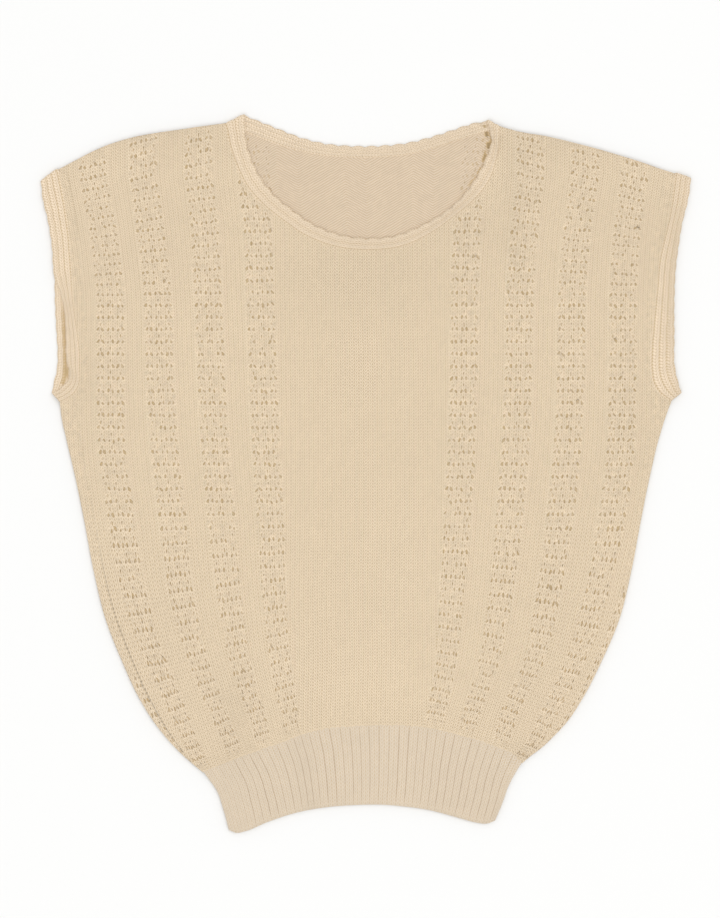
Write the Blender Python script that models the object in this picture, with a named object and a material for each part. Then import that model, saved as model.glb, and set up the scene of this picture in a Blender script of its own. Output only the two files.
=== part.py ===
"""A sleeveless openwork knit top with capped shoulders and a deep ribbed welt, laid flat with its front up.

The tables and constants are in millimetres and the model is built in metres, with +Z up. +X is the viewer's
right, +Y runs from the hem to the neck, and Z = 0 is the surface that the back lies on. The front lies on the
back. Left and right are the viewer's. Every wall is two sheets of points, an outer and an inner one, closed
round its border. The tables' own origin is near the middle of the body, and MIDDLE moves it to the outline's.
"""

import math

import bpy
import numpy as np

COLLECTION = "openwork_knit_top"
MM = 0.001
MIDDLE = (0.585, -0.491, 0.0)  # middle of the outline on the tables' plan
BISECTIONS = 50  # halvings when a crossing is looked for
SHARP_ANGLE = 50  # degrees
MITRE = 0.5  # least cosine by which a corner of a line moved sideways is stretched

# Cloth
WALL = 1.8  # thickness of the knit
SEAM_GAP = 0.3  # between pieces at a seam, and between the two layers
EDGE_WALL = 1.0  # thickness at a rounded border
EDGE_ROUND = 7.0  # how far in from a border the wall reaches its full thickness
FRONT_BASE = WALL + SEAM_GAP  # the front layer's lower face

# Relief of the front
FLUTE = 0.8  # rise of the plain strips between the openwork bands
PUFF = 4.2  # rise of the cloth that is gathered into the welt
PUFF_CREST = 17.0  # height above the welt at which that rise is greatest
PUFF_IN_BANDS = 0.4  # share of the puff that the openwork bands keep
BAND_EDGE_RISE = 0.4  # share of the rise that is left at a band's edge
STRIP_FULLNESS = 1.5  # above 1 the crest of a plain strip is flatter and wider
# Height, and width of an openwork band there
BAND_WIDTHS = ((-241.0, 9.5), (-225.0, 12.0), (-195.0, 15.5), (-35.0, 24.0))

# Welt ribs
RIB_RISE = 0.8
RIB_GROOVE = 1.2  # half width of the groove between two ribs
RIBS_LEFT, RIBS_RIGHT = -16, 15  # grooves are numbered from the middle of the welt
RIB_END = 0.35  # how far in from a side the outermost rib reaches its height, in ribs
RIB_AT_HEM = 0.3  # share of the ribs' rise that is left at the hem
HEM_WALL = 1.2  # thickness at the hem
RIB_STEPS = (0.0, 0.07, 0.36, 0.68, 0.93, 1.0)  # shares of the welt's depth, from the seam to the hem
BACK_WELT_COLUMNS = 56
BACK_WELT_STEPS = (0.0, 0.1, 0.5, 0.9, 1.0)

# Trims
SCALLOP = 10.4  # length of one scallop of the trims' free edge
SCALLOP_DEPTH = 1.1
FOLD_STEPS = 5
FOLD_DROP = 1.8  # how far below the shoulder's edge a trim starts to turn over
INNER_SHARES = (0.97, 0.02)  # places of the inner side's two lines across a trim, free edge first
CORNER_CLEARANCE = 0.2  # least distance of a section from a corner of the seam, in sections
NECK_CORNER_GAP = 0.36  # from the trim's corner to the panels', across and up

# Centre lines of the eight openwork bands: height, then the eight places across, from left to right
BAND_LINES = (
    (239, -217.5, -177.0, -133.0, -91.0, 84.0, 132.0, 176.0, 215.5),
    (195, -209.5, -171.5, -128.0, -86.0, 81.5, 127.5, 169.5, 209.5),
    (147, -204.0, -166.0, -125.5, -84.0, 79.5, 124.0, 165.5, 206.5),
    (83, -203.5, -164.0, -123.0, -81.5, 79.0, 122.5, 164.5, 206.0),
    (19, -202.0, -160.0, -119.5, -79.0, 77.0, 120.0, 161.5, 204.0),
    (-37, -194.5, -153.5, -114.5, -75.5, 73.5, 115.0, 155.5, 197.0),
    (-101, -183.0, -146.0, -108.0, -72.5, 69.0, 108.0, 145.5, 183.5),
    (-149, -167.0, -133.0, -100.0, -67.5, 65.0, 99.0, 135.0, 168.0),
    (-191, -149.0, -117.0, -87.0, -61.0, 57.0, 85.0, 115.0, 147.0),
    (-221, -136.0, -104.5, -79.0, -54.5, 51.0, 76.0, 105.5, 129.5),
    (-232, -130.5, -100.0, -75.5, -52.0, 48.5, 71.5, 98.0, 117.5),
    (-241, -121.5, -95.0, -73.0, -50.0, 46.5, 69.0, 93.0, 108.0),
)

# Body sides from the welt up to the underarm: across, height
LEFT_SIDE = (
    (-129.6, -238.4), (-141.0, -229.0), (-151.0, -219.5), (-160.0, -209.5), (-167.5, -200.0),
    (-179.5, -181.0), (-194.5, -149.0), (-207.0, -117.0), (-217.0, -77.0), (-224.5, -37.0), (-231.0, -5.0),
    (-238.5, 27.0), (-242.5, 45.0), (-244.0, 57.5),
)
RIGHT_SIDE = (
    (125.6, -231.2), (133.0, -225.0), (141.0, -219.0), (151.0, -209.5), (160.0, -200.0), (173.0, -181.0),
    (189.5, -149.0), (203.0, -117.0), (213.0, -77.0), (220.5, -37.0), (227.0, -5.0), (234.5, 27.0),
    (240.0, 45.0), (245.0, 58.5),
)

# Armhole seams from the underarm up to the shoulder: across, height
LEFT_ARMHOLE_FRONT = (
    (-244.0, 57.5), (-236.0, 61.5), (-229.5, 69.0), (-228.0, 81.5), (-228.3, 102.5), (-230.5, 118.0),
    (-233.5, 139.0), (-235.0, 163.0), (-237.5, 193.0), (-241.0, 218.0), (-246.0, 243.0),
)
LEFT_ARMHOLE_BACK = (
    (-244.0, 57.5), (-238.0, 61.5), (-234.0, 69.0), (-233.0, 81.5), (-233.0, 102.5), (-233.5, 118.0),
    (-234.5, 139.0), (-235.5, 163.0), (-237.5, 193.0), (-241.0, 218.0), (-246.0, 243.0),
)
RIGHT_ARMHOLE = (
    (245.0, 58.5), (237.0, 64.0), (231.5, 71.5), (229.5, 82.0), (229.5, 102.5), (231.5, 125.0),
    (233.5, 147.0), (236.0, 173.0), (240.0, 190.0), (244.5, 211.0), (248.5, 240.0),
)

# Free edges of the armhole trims, from the underarm up to the fold at the shoulder: across, height
LEFT_TRIM_FRONT = (
    (-250.5, 65.0), (-246.0, 67.5), (-241.0, 71.5), (-237.0, 77.0), (-236.5, 82.0), (-238.5, 89.0),
    (-239.5, 112.0), (-241.5, 130.5), (-245.5, 145.0), (-248.3, 157.0), (-250.5, 182.0), (-254.0, 204.0),
    (-258.0, 221.0), (-259.0, 232.5),
)
LEFT_TRIM_BACK = (
    (-250.5, 65.0), (-249.0, 73.0), (-246.5, 84.0), (-246.0, 99.0), (-247.0, 115.0), (-248.0, 135.0),
    (-248.6, 157.0), (-250.5, 182.0), (-254.0, 204.0), (-258.0, 221.0), (-259.0, 232.5),
)
RIGHT_TRIM = (
    (253.0, 65.0), (249.8, 76.0), (247.5, 89.0), (247.5, 107.0), (247.5, 139.0), (248.5, 163.0),
    (251.0, 183.0), (254.0, 201.5), (257.5, 215.0), (260.0, 229.0), (260.5, 235.0),
)

# Shoulders, outer end to the neck: across, height
LEFT_SHOULDER = (
    (-246.0, 243.0), (-237.5, 247.5), (-229.0, 252.0), (-216.0, 258.5), (-200.0, 265.0), (-188.0, 268.5),
    (-164.0, 273.0), (-140.0, 276.5), (-111.0, 280.5),
)
RIGHT_SHOULDER = (
    (107.5, 278.0), (126.5, 273.0), (145.0, 270.0), (172.0, 263.5), (201.0, 255.5), (218.5, 250.0),
    (237.5, 243.5), (248.5, 240.0),
)

# Necklines, where the panels end, and the free edges of the neck trim, left to right: across, height
FRONT_NECKLINE = (
    (-111.0, 280.5), (-106.5, 259.0), (-101.5, 245.0), (-92.0, 227.5), (-80.0, 214.5), (-65.0, 202.5),
    (-47.0, 190.5), (-22.5, 181.5), (4.0, 179.0), (29.5, 182.0), (55.0, 194.0), (72.0, 206.5),
    (88.0, 220.0), (99.5, 235.0), (104.5, 249.5), (107.0, 266.0), (107.5, 278.0),
)
BACK_NECKLINE = (
    (-111.0, 280.5), (-104.0, 277.5), (-93.0, 273.0), (-80.0, 268.0), (-60.0, 261.0), (-35.0, 255.5),
    (-8.0, 253.5), (16.0, 254.0), (38.0, 256.5), (58.0, 262.0), (78.0, 268.5), (92.0, 272.5),
    (107.5, 278.0),
)
FRONT_NECK_EDGE = (
    (-97.0, 284.8), (-94.0, 264.0), (-90.0, 251.0), (-82.0, 235.5), (-72.0, 223.0), (-58.5, 212.0),
    (-43.0, 201.0), (-21.0, 192.0), (4.0, 189.0), (24.0, 191.0), (46.5, 200.0), (65.5, 211.5),
    (79.0, 224.0), (90.0, 240.0), (95.5, 253.0), (97.5, 267.0), (98.0, 282.0),
)
BACK_NECK_EDGE = (
    (-97.0, 284.8), (-88.0, 283.0), (-77.5, 279.5), (-65.0, 274.5), (-52.0, 269.5), (-32.0, 264.5),
    (-8.0, 262.5), (16.0, 263.0), (36.0, 265.5), (53.5, 270.0), (72.0, 276.0), (86.0, 280.5),
    (98.0, 282.0),
)

# Lower edge of the panels, and the hem, left to right: across, height
WELT_SEAM = (
    (-129.6, -238.4), (-114.4, -232.0), (-98.4, -225.6), (-78.4, -218.8), (-61.0, -212.5), (-43.0, -206.0),
    (-20.0, -202.5), (4.0, -201.0), (28.0, -201.0), (50.4, -202.8), (78.4, -209.6), (104.0, -217.6),
    (116.0, -222.5), (125.6, -231.2),
)
HEM = (
    (-108.8, -284.5), (-103.0, -286.8), (-96.0, -285.6), (-78.4, -278.4), (-54.4, -270.6), (-31.2, -266.4),
    (-8.0, -264.6), (16.0, -264.4), (28.0, -265.4), (52.0, -268.8), (76.0, -275.2), (88.0, -278.4),
    (97.5, -279.4), (104.0, -277.0),
)
WELT_LEFT = ((-129.6, -238.4), (-125.5, -244.0), (-119.0, -253.0), (-113.4, -268.0), (-108.8, -284.5))
WELT_RIGHT = ((125.6, -231.2), (120.5, -239.5), (115.2, -249.0), (110.0, -263.0), (104.0, -277.0))

# Where each groove meets the seam and the hem: groove number, across at the seam, across at the hem
RIB_FAN = ((-17, -129.6, -108.8), (-15, -108.8, -98.5), (14, 109.3, 96.5), (16, 125.6, 104.0))

# Section of a trim from its seam to its free edge: share of the width, thickness in front, thickness behind
TRIM_SECTION = (
    (0.00, 1.5, 1.4),
    (0.13, 2.9, 1.8),
    (0.34, 2.9, 1.8),
    (0.48, 1.9, 1.8),
    (0.68, 2.4, 1.8),
    (1.00, 1.0, 1.0),
)

# Columns of the panels. Whole numbers are the edges of the bands from left to right, -1 and 16 are the sides.
FRONT_COLUMNS = (
    -1, -0.86, -0.45, 0, 0.5, 1, 1.5, 2, 2.5, 3, 3.5, 4, 4.5, 5, "left neck", 5.8, 6, 6.5, 7, 7.12, 7.25, 7.4,
    7.55, 7.7, 7.85, 8, 8.5, 9, 9.3, "right neck", 10, 10.5, 11, 11.5, 12, 12.5, 13, 13.5, 14, 14.5, 15,
    15.45, 15.86, 16,
)
BACK_COLUMNS = (
    -1, -0.5, 0, 1, 2, 3, 4, 5, "left neck", 6, 6.5, 7, 7.2, 7.4, 7.6, 7.8, 8, 8.5, 9, "right neck",
    10, 11, 12, 13, 14, 15, 15.5, 16,
)
UNDERARM = 0.6147  # the underarm's share of the way up a side
# Rows of the panels, as shares of the way up a column
FRONT_ROWS = (
    0, 0.007, 0.018, 0.034, 0.055, 0.085, 0.125, 0.175, 0.23, 0.29, 0.35, 0.42, 0.49, 0.56, UNDERARM,
    0.624, 0.640, 0.664, 0.70, 0.75, 0.80, 0.85, 0.90, 0.94, 0.975, 0.993, 1,
)
BACK_ROWS = (
    0, 0.02, 0.06, 0.125, 0.20, 0.29, 0.38, 0.47, 0.55, UNDERARM, 0.624, 0.640, 0.664, 0.70, 0.75, 0.80, 0.86,
    0.92, 0.97, 1,
)

# Colours of the cotton, linear
CREAM = (0.76, 0.62, 0.455, 1.0)
CREAM_INSIDE = (0.73, 0.59, 0.43, 1.0)
CREAM_RIB = (0.73, 0.60, 0.45, 1.0)
CREAM_TRIM = (0.75, 0.615, 0.455, 1.0)
ROUGHNESS = 0.9


def clear_scene():
    for obj in list(bpy.data.objects):
        bpy.data.objects.remove(obj, do_unlink=True)


def cotton(name, colour):
    material = bpy.data.materials.new(name)
    material.use_nodes = True
    shader = material.node_tree.nodes["Principled BSDF"]
    shader.inputs["Base Color"].default_value = colour
    shader.inputs["Roughness"].default_value = ROUGHNESS
    shader.inputs["Metallic"].default_value = 0.0
    return material


def curve_value(x, table):
    """A smooth curve through a table of (place, value) rows, read at x, level past its ends."""
    places, values = np.array(sorted(table), float).T
    slopes = np.gradient(values, places)
    x = np.clip(x, places[0], places[-1])
    k = np.clip(np.searchsorted(places, x) - 1, 0, len(places) - 2)
    step = places[k + 1] - places[k]
    t = (x - places[k]) / step
    rise = values[k] * (1 + 2 * t) * (1 - t) ** 2 + values[k + 1] * t * t * (3 - 2 * t)
    lean = slopes[k] * t * (1 - t) ** 2 - slopes[k + 1] * t * t * (1 - t)
    return rise + lean * step


def lengths_along(points):
    steps = np.linalg.norm(np.diff(points, axis=0), axis=1)
    return np.concatenate([[0.0], np.cumsum(steps)])


def points_along(points, shares):
    """Points at these shares of the length of a line of straight stretches."""
    along = lengths_along(points)
    places = np.asarray(shares) * along[-1]
    return np.column_stack([np.interp(places, along, points[:, axis]) for axis in range(points.shape[1])])


def smooth_line(table, samples=400):
    """A fine line on the smooth curve through a table of (across, height) rows."""
    points = np.array(table, float)
    along = lengths_along(points)
    places = np.linspace(0, along[-1], samples)
    across = [curve_value(place, list(zip(along, points[:, 0]))) for place in places]
    height = [curve_value(place, list(zip(along, points[:, 1]))) for place in places]
    return np.column_stack([across, height])


def moved_out(points, distance):
    """The line moved to its left by this distance."""
    steps = np.diff(points, axis=0)
    normals = np.column_stack([-steps[:, 1], steps[:, 0]]) / np.linalg.norm(steps, axis=1)[:, None]
    corners = np.vstack([normals[:1], normals[:-1] + normals[1:], normals[-1:]])
    corners /= np.linalg.norm(corners, axis=1)[:, None]
    turn = np.sum(corners * np.vstack([normals[:1], normals]), axis=1)
    return points + corners * (distance / np.maximum(turn, MITRE))[:, None]


def band_width(height):
    heights, widths = zip(*BAND_WIDTHS)
    return np.interp(height, heights, widths)


def band_centre(band, height):
    return curve_value(height, [(row[0], row[band]) for row in BAND_LINES])


def flipped(table):
    return [(height, across) for across, height in table]


class Plan:
    """Outline of one panel, and where its columns of stitches run."""

    def __init__(self, left_armhole, neckline):
        self.sides = ((LEFT_SIDE, left_armhole), (RIGHT_SIDE, RIGHT_ARMHOLE))
        self.neckline = neckline

    def side(self, which, height):
        body, armhole = self.sides[which]
        return curve_value(height, flipped(body if height <= body[-1][1] else armhole))

    def across(self, column, height):
        edges = [self.side(0, height)]
        for band in range(1, 9):
            half = band_width(height) / 2
            edges += [band_centre(band, height) - half, band_centre(band, height) + half]
        edges.append(self.side(1, height))
        return float(np.interp(column, range(-1, 17), edges))

    def top(self, across):
        if across <= self.neckline[0][0]:
            return curve_value(across, LEFT_SHOULDER)
        if across >= self.neckline[-1][0]:
            return curve_value(across, RIGHT_SHOULDER)
        return curve_value(across, self.neckline)

    def crossing(self, column, low, high, edge):
        """Height at which a column meets an edge, given as a height for each place across."""
        for _ in range(BISECTIONS):
            middle = (low + high) / 2
            if middle < edge(self.across(column, middle)):
                low = middle
            else:
                high = middle
        return low

    def column_at(self, across, height):
        low, high = -1.0, 16.0
        for _ in range(BISECTIONS):
            middle = (low + high) / 2
            if self.across(middle, height) < across:
                low = middle
            else:
                high = middle
        return low

    def grid(self, columns, rows):
        """Points of the panel as [column, row, (across, height)], and the columns as numbers."""
        named = {"left neck": self.neckline[0], "right neck": self.neckline[-1]}
        numbers = [self.column_at(*named[c]) if c in named else float(c) for c in columns]
        points = np.zeros((len(numbers), len(rows), 2))
        lowest, middle, highest = -240.0, 0.0, 285.0
        for i, column in enumerate(numbers):
            bottom = self.crossing(column, lowest, middle, lambda x: curve_value(x, WELT_SEAM))
            top = self.crossing(column, middle, highest, self.top)
            if columns[i] in named:
                top = named[columns[i]][1]
            for j, share in enumerate(rows):
                height = bottom + share * (top - bottom)
                points[i, j] = self.across(column, height), height
            if columns[i] in named:
                points[i, -1] = named[columns[i]]
        return points, numbers


def plain_share(column):
    """1 in the middle of a plain strip, falling to BAND_EDGE_RISE at a band's edge and 0 in its middle."""
    whole = math.floor(column)
    part = column - whole
    in_band = whole % 2 == 0 and 0 <= whole < 16
    if in_band:
        return BAND_EDGE_RISE * abs(2 * part - 1)
    return BAND_EDGE_RISE + (1 - BAND_EDGE_RISE) * min(1.0, STRIP_FULLNESS * math.sin(math.pi * part))


def rounding(distance):
    """0 at a border, rising to 1 where the wall has its full thickness."""
    share = np.clip(distance / EDGE_ROUND, 0, 1)
    return np.sqrt(share * (2 - share))


def border_rounding(points):
    """How full the wall is at each point of a panel's grid, from its distance to the sides and the top."""
    from_left = points[:, :, 0] - points[:1, :, 0]
    from_right = points[-1:, :, 0] - points[:, :, 0]
    from_top = points[:, -1:, 1] - points[:, :, 1]
    return rounding(np.minimum(np.minimum(from_left, from_right), from_top))


def closed_wall(name, outer, inner, collection, material):
    """One closed body between two sheets of points, [column, row, xyz] in millimetres."""
    columns, rows = outer.shape[:2]
    vertices = np.concatenate([outer.reshape(-1, 3), inner.reshape(-1, 3)])
    behind = columns * rows

    def index(i, j, sheet):
        return i * rows + j + sheet * behind

    faces = []
    for i in range(columns - 1):
        for j in range(rows - 1):
            for sheet in (0, 1):
                corners = ((i, j), (i + 1, j), (i + 1, j + 1), (i, j + 1))
                quad = [index(column, row, sheet) for column, row in corners]
                faces.append(quad if sheet == 0 else quad[::-1])
    border = [(i, 0) for i in range(columns)] + [(columns - 1, j) for j in range(1, rows)]
    border += [(i, rows - 1) for i in range(columns - 2, -1, -1)] + [(0, j) for j in range(rows - 2, 0, -1)]
    for (i, j), (k, m) in zip(border, border[1:] + border[:1]):
        faces.append([index(k, m, 0), index(i, j, 0), index(i, j, 1), index(k, m, 1)])
    return add_object(name, vertices, faces, collection, material)


def closed_ribbon(name, sections, is_ring, collection, material):
    """One closed body through sections of equal count, each a ring of points in millimetres."""
    count = len(sections[0])
    vertices = np.concatenate(sections)
    faces = []
    stretches = len(sections) if is_ring else len(sections) - 1
    for s in range(stretches):
        here, there = s * count, (s + 1) % len(sections) * count
        for p in range(count):
            q = (p + 1) % count
            faces.append([here + p, here + q, there + q, there + p])
    if not is_ring:
        last = (len(sections) - 1) * count
        faces.append(list(range(count))[::-1])
        faces.append(list(range(last, last + count)))
    return add_object(name, vertices, faces, collection, material)


def outward(vertices, faces):
    """The faces, turned round if the body they close is inside out."""
    volume = 0.0
    for face in faces:
        for a, b in zip(face[1:-1], face[2:]):
            volume += np.dot(vertices[face[0]], np.cross(vertices[a], vertices[b]))
    return faces if volume > 0 else [face[::-1] for face in faces]


def add_object(name, vertices, faces, collection, material):
    """One named object. The vertices are in the tables' millimetres."""
    mesh = bpy.data.meshes.new(name)
    placed = (vertices - MIDDLE) * MM
    mesh.from_pydata(placed.tolist(), [], outward(vertices, faces))
    mesh.shade_smooth()
    mesh.set_sharp_from_angle(angle=math.radians(SHARP_ANGLE))
    mesh.materials.append(material)
    obj = bpy.data.objects.new(name, mesh)
    collection.objects.link(obj)
    return obj


def with_height(points, height):
    return np.concatenate([points, np.broadcast_to(height, points.shape[:-1])[..., None]], axis=-1)


def front_lift(points, numbers):
    """How far the front's wall stands off the back: flutes between the bands, and the puff above the welt."""
    above_welt = points[:, :, 1] - points[:, :1, 1]
    plain = np.array([plain_share(column) for column in numbers])[:, None]
    swell = above_welt / PUFF_CREST * np.exp(1 - above_welt / PUFF_CREST)
    flutes = FLUTE * plain * np.clip(above_welt / PUFF_CREST, 0, 1)
    puff = PUFF * (PUFF_IN_BANDS + (1 - PUFF_IN_BANDS) * plain) * swell
    return (flutes + puff) * border_rounding(points)


def make_front_panel(plan, collection):
    points, numbers = plan.grid(FRONT_COLUMNS, FRONT_ROWS)
    lift = FRONT_BASE + front_lift(points, numbers)
    thickness = EDGE_WALL + (WALL - EDGE_WALL) * border_rounding(points)
    outer, inner = with_height(points, lift + thickness), with_height(points, lift)
    closed_wall("front_panel", outer, inner, collection, cotton("cream_cotton_front", CREAM))
    return points


def make_back_panel(plan, collection):
    points, _ = plan.grid(BACK_COLUMNS, BACK_ROWS)
    rise = (WALL - EDGE_WALL) * (1 - border_rounding(points))
    material = cotton("cream_cotton_back", CREAM_INSIDE)
    closed_wall("back_panel", with_height(points, WALL), with_height(points, rise), collection, material)
    return points


def welt_grid(seam, grooves, steps):
    """Points of a welt: a patch between the seam above it, the hem below it and its two sides."""
    numbers, at_seam, at_hem = np.array(RIB_FAN, float).T
    hem = smooth_line(HEM)
    left, right = smooth_line(WELT_LEFT), smooth_line(WELT_RIGHT)
    left[:, 1] -= np.linspace(SEAM_GAP, 0, len(left))
    right[:, 1] -= np.linspace(SEAM_GAP, 0, len(right))
    left_side, right_side = points_along(left, steps), points_along(right, steps)
    points = np.zeros((len(grooves), len(steps), 2))
    for i, groove in enumerate(grooves):
        u = (groove - grooves[0]) / (grooves[-1] - grooves[0])
        x_top = np.interp(groove, numbers, at_seam)
        x_hem = np.interp(groove, numbers, at_hem)
        top = np.array([x_top, np.interp(x_top, seam[:, 0], seam[:, 1])])
        low = np.array([x_hem, np.interp(x_hem, hem[:, 0], hem[:, 1])])
        for j, v in enumerate(steps):
            straight = (1 - v) * top + v * low
            sides = (1 - u) * left_side[j] + u * right_side[j]
            ends = (1 - u) * ((1 - v) * left_side[0] + v * left_side[-1])
            ends = ends + u * ((1 - v) * right_side[0] + v * right_side[-1])
            points[i, j] = straight + sides - ends
    return points


def make_front_welt(panel, collection):
    seam = moved_out(panel[::-1, 0], SEAM_GAP)[::-1]
    grooves, rises = [float(RIB_FAN[0][0]), RIB_FAN[0][0] + RIB_END], [0.0, 1.0]
    spacing = (RIB_FAN[2][1] - RIB_FAN[1][1]) / (RIB_FAN[2][0] - RIB_FAN[1][0])
    half = RIB_GROOVE / spacing
    for groove in range(RIBS_LEFT, RIBS_RIGHT + 1):
        grooves += [groove - half, float(groove), groove + half]
        rises += [1.0, 0.0, 1.0]
    grooves += [RIB_FAN[-1][0] - RIB_END, float(RIB_FAN[-1][0])]
    rises += [1.0, 0.0]
    points = welt_grid(seam, grooves, RIB_STEPS)
    fade = np.array([0.0] + [1.0] * (len(RIB_STEPS) - 2) + [RIB_AT_HEM])
    thickness = np.full(points.shape[:2], WALL)
    thickness[[0, -1], :] = EDGE_WALL
    thickness[:, -1] = HEM_WALL
    thickness = thickness + RIB_RISE * np.array(rises)[:, None] * fade[None, :]
    material = cotton("cream_cotton_front_welt", CREAM_RIB)
    outer = with_height(points, FRONT_BASE + thickness)
    closed_wall("front_welt", outer, with_height(points, FRONT_BASE), collection, material)


def make_back_welt(panel, collection):
    seam = moved_out(panel[::-1, 0], SEAM_GAP)[::-1]
    first, last = RIB_FAN[0][0], RIB_FAN[-1][0]
    grooves = np.linspace(first, last, BACK_WELT_COLUMNS)
    points = welt_grid(seam, grooves, BACK_WELT_STEPS)
    rise = np.zeros(points.shape[:2])
    rise[[0, -1], :] = WALL - EDGE_WALL
    rise[:, -1] = WALL - EDGE_WALL
    material = cotton("cream_cotton_back_welt", CREAM_RIB)
    closed_wall("back_welt", with_height(points, WALL), with_height(points, rise), collection, material)


def trim_section(seam, edge, normal, blend):
    """Ring of points across a trim: its face from the seam to the free edge, and back along its inner side.

    The blend is 0 for the section of the front and 1 for that of the back.
    """
    across = edge - seam
    rows = [(share, (1 - blend) * front + blend * back) for share, front, back in TRIM_SECTION]
    face = [seam + share * across + normal * thickness for share, thickness in rows]
    return np.array(face + [seam + share * across for share in INNER_SHARES])


def section_shares(seam_line, scallops):
    """Shares of the length where the sections go: two to a scallop, and one at each corner of the seam."""
    corners = lengths_along(seam_line) / lengths_along(seam_line)[-1]
    even = np.linspace(0, 1, 2 * scallops + 1)
    clear = [share for share in even if np.abs(corners - share).min() > CORNER_CLEARANCE * even[1]]
    return np.sort(np.concatenate([corners, clear]))


def layer_sections(seam_line, edge_line, is_front, scallops):
    """Sections along one layer. Its free edge is drawn in between the scallops."""
    shares = section_shares(seam_line, scallops)
    seams, edges = points_along(seam_line, shares), points_along(edge_line, shares)
    level = FRONT_BASE if is_front else WALL
    normal = np.array([0.0, 0.0, 1.0 if is_front else -1.0])
    blend = 0 if is_front else 1
    sections = []
    for share, seam, edge in zip(shares, seams, edges):
        inward = (seam - edge) / np.linalg.norm(seam - edge)
        edge = edge + inward * SCALLOP_DEPTH * math.sin(math.pi * share * scallops) ** 2
        sections.append(trim_section(np.append(seam, level), np.append(edge, level), normal, blend))
    return sections


def fold_sections(seam, edge, from_front):
    """Sections of a trim as it turns over to the other layer, about the line from its seam to its edge."""
    along = (edge - seam) / np.linalg.norm(edge - seam)
    away = np.array([-along[1], along[0], 0.0])
    away *= math.copysign(1.0, away[1])
    up = np.array([0.0, 0.0, 1.0])
    middle, radius = (FRONT_BASE + WALL) / 2, SEAM_GAP / 2
    sections = []
    for step in range(1, FOLD_STEPS):
        share = step / FOLD_STEPS
        turn = math.pi * (share if from_front else 1 - share)
        normal = math.cos(turn) * up + math.sin(turn) * away
        centre = middle * up + radius * normal
        here, there = np.append(seam, 0.0) + centre, np.append(edge, 0.0) + centre
        sections.append(trim_section(here, there, normal, turn / math.pi))
    return sections


def scallop_count(line):
    return max(2, round(lengths_along(line)[-1] / SCALLOP))


def make_neck_trim(front, back, collection):
    """One ring: along the front neckline, over the right shoulder, along the back and over the left."""
    first, last = FRONT_COLUMNS.index("left neck"), FRONT_COLUMNS.index("right neck")
    front_line = front[first:last + 1, -1]
    first, last = BACK_COLUMNS.index("left neck"), BACK_COLUMNS.index("right neck")
    back_line = back[first:last + 1, -1]
    left = front_line[0] + (NECK_CORNER_GAP, NECK_CORNER_GAP)
    right = front_line[-1] + (-NECK_CORNER_GAP, NECK_CORNER_GAP)
    front_seam = np.vstack([left, moved_out(front_line, SEAM_GAP)[1:-1], right])
    back_seam = np.vstack([left, moved_out(back_line, SEAM_GAP)[1:-1], right])[::-1]
    front_edge, back_edge = smooth_line(FRONT_NECK_EDGE), smooth_line(BACK_NECK_EDGE)[::-1]
    sections = layer_sections(front_seam, front_edge, True, scallop_count(front_edge))
    sections += fold_sections(right, front_edge[-1], True)
    sections += layer_sections(back_seam, back_edge, False, scallop_count(back_edge))
    sections += fold_sections(left, front_edge[0], False)
    closed_ribbon("neck_trim", sections, True, collection, cotton("cream_cotton_neck_trim", CREAM_TRIM))


def make_armhole_trim(name, column, front, back, edges, collection):
    """A band from the front's underarm up to the shoulder, over it and down the back to the underarm."""
    start_front, start_back = FRONT_ROWS.index(UNDERARM), BACK_ROWS.index(UNDERARM)
    outward_turn = SEAM_GAP if column == 0 else -SEAM_GAP
    lines = []
    for line in (front[column, start_front:], back[column, start_back:]):
        seam = moved_out(line, outward_turn)
        seam[-1, 1] -= FOLD_DROP
        lines.append(seam)
    lines[1][-1] = lines[0][-1]
    front_edge, back_edge = smooth_line(edges[0]), smooth_line(edges[1])
    sections = layer_sections(lines[0], front_edge, True, scallop_count(front_edge))
    sections += fold_sections(lines[0][-1], front_edge[-1], True)
    sections += layer_sections(lines[1][::-1], back_edge[::-1], False, scallop_count(back_edge))
    closed_ribbon(name, sections, False, collection, cotton("cream_cotton_" + name, CREAM_TRIM))


def main():
    clear_scene()
    collection = bpy.data.collections.new(COLLECTION)
    bpy.context.scene.collection.children.link(collection)
    front_plan = Plan(LEFT_ARMHOLE_FRONT, FRONT_NECKLINE)
    back_plan = Plan(LEFT_ARMHOLE_BACK, BACK_NECKLINE)
    front = make_front_panel(front_plan, collection)
    back = make_back_panel(back_plan, collection)
    make_front_welt(front, collection)
    make_back_welt(back, collection)
    make_neck_trim(front, back, collection)
    left_edges, right_edges = (LEFT_TRIM_FRONT, LEFT_TRIM_BACK), (RIGHT_TRIM, RIGHT_TRIM)
    make_armhole_trim("armhole_trim_left", 0, front, back, left_edges, collection)
    make_armhole_trim("armhole_trim_right", -1, front, back, right_edges, collection)


main()
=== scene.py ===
"""Looks of the openwork knit top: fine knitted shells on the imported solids, real eyelets, light and camera.

The tables are in millimetres on the plan of the part's source, and MIDDLE moves them to the frame's origin.
+X is the viewer's right, +Y runs from the hem to the neck, and the back lies on Z = 0. A place in the knit is
its wale, counted across, and its course, counted up from the welt.
"""

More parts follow.
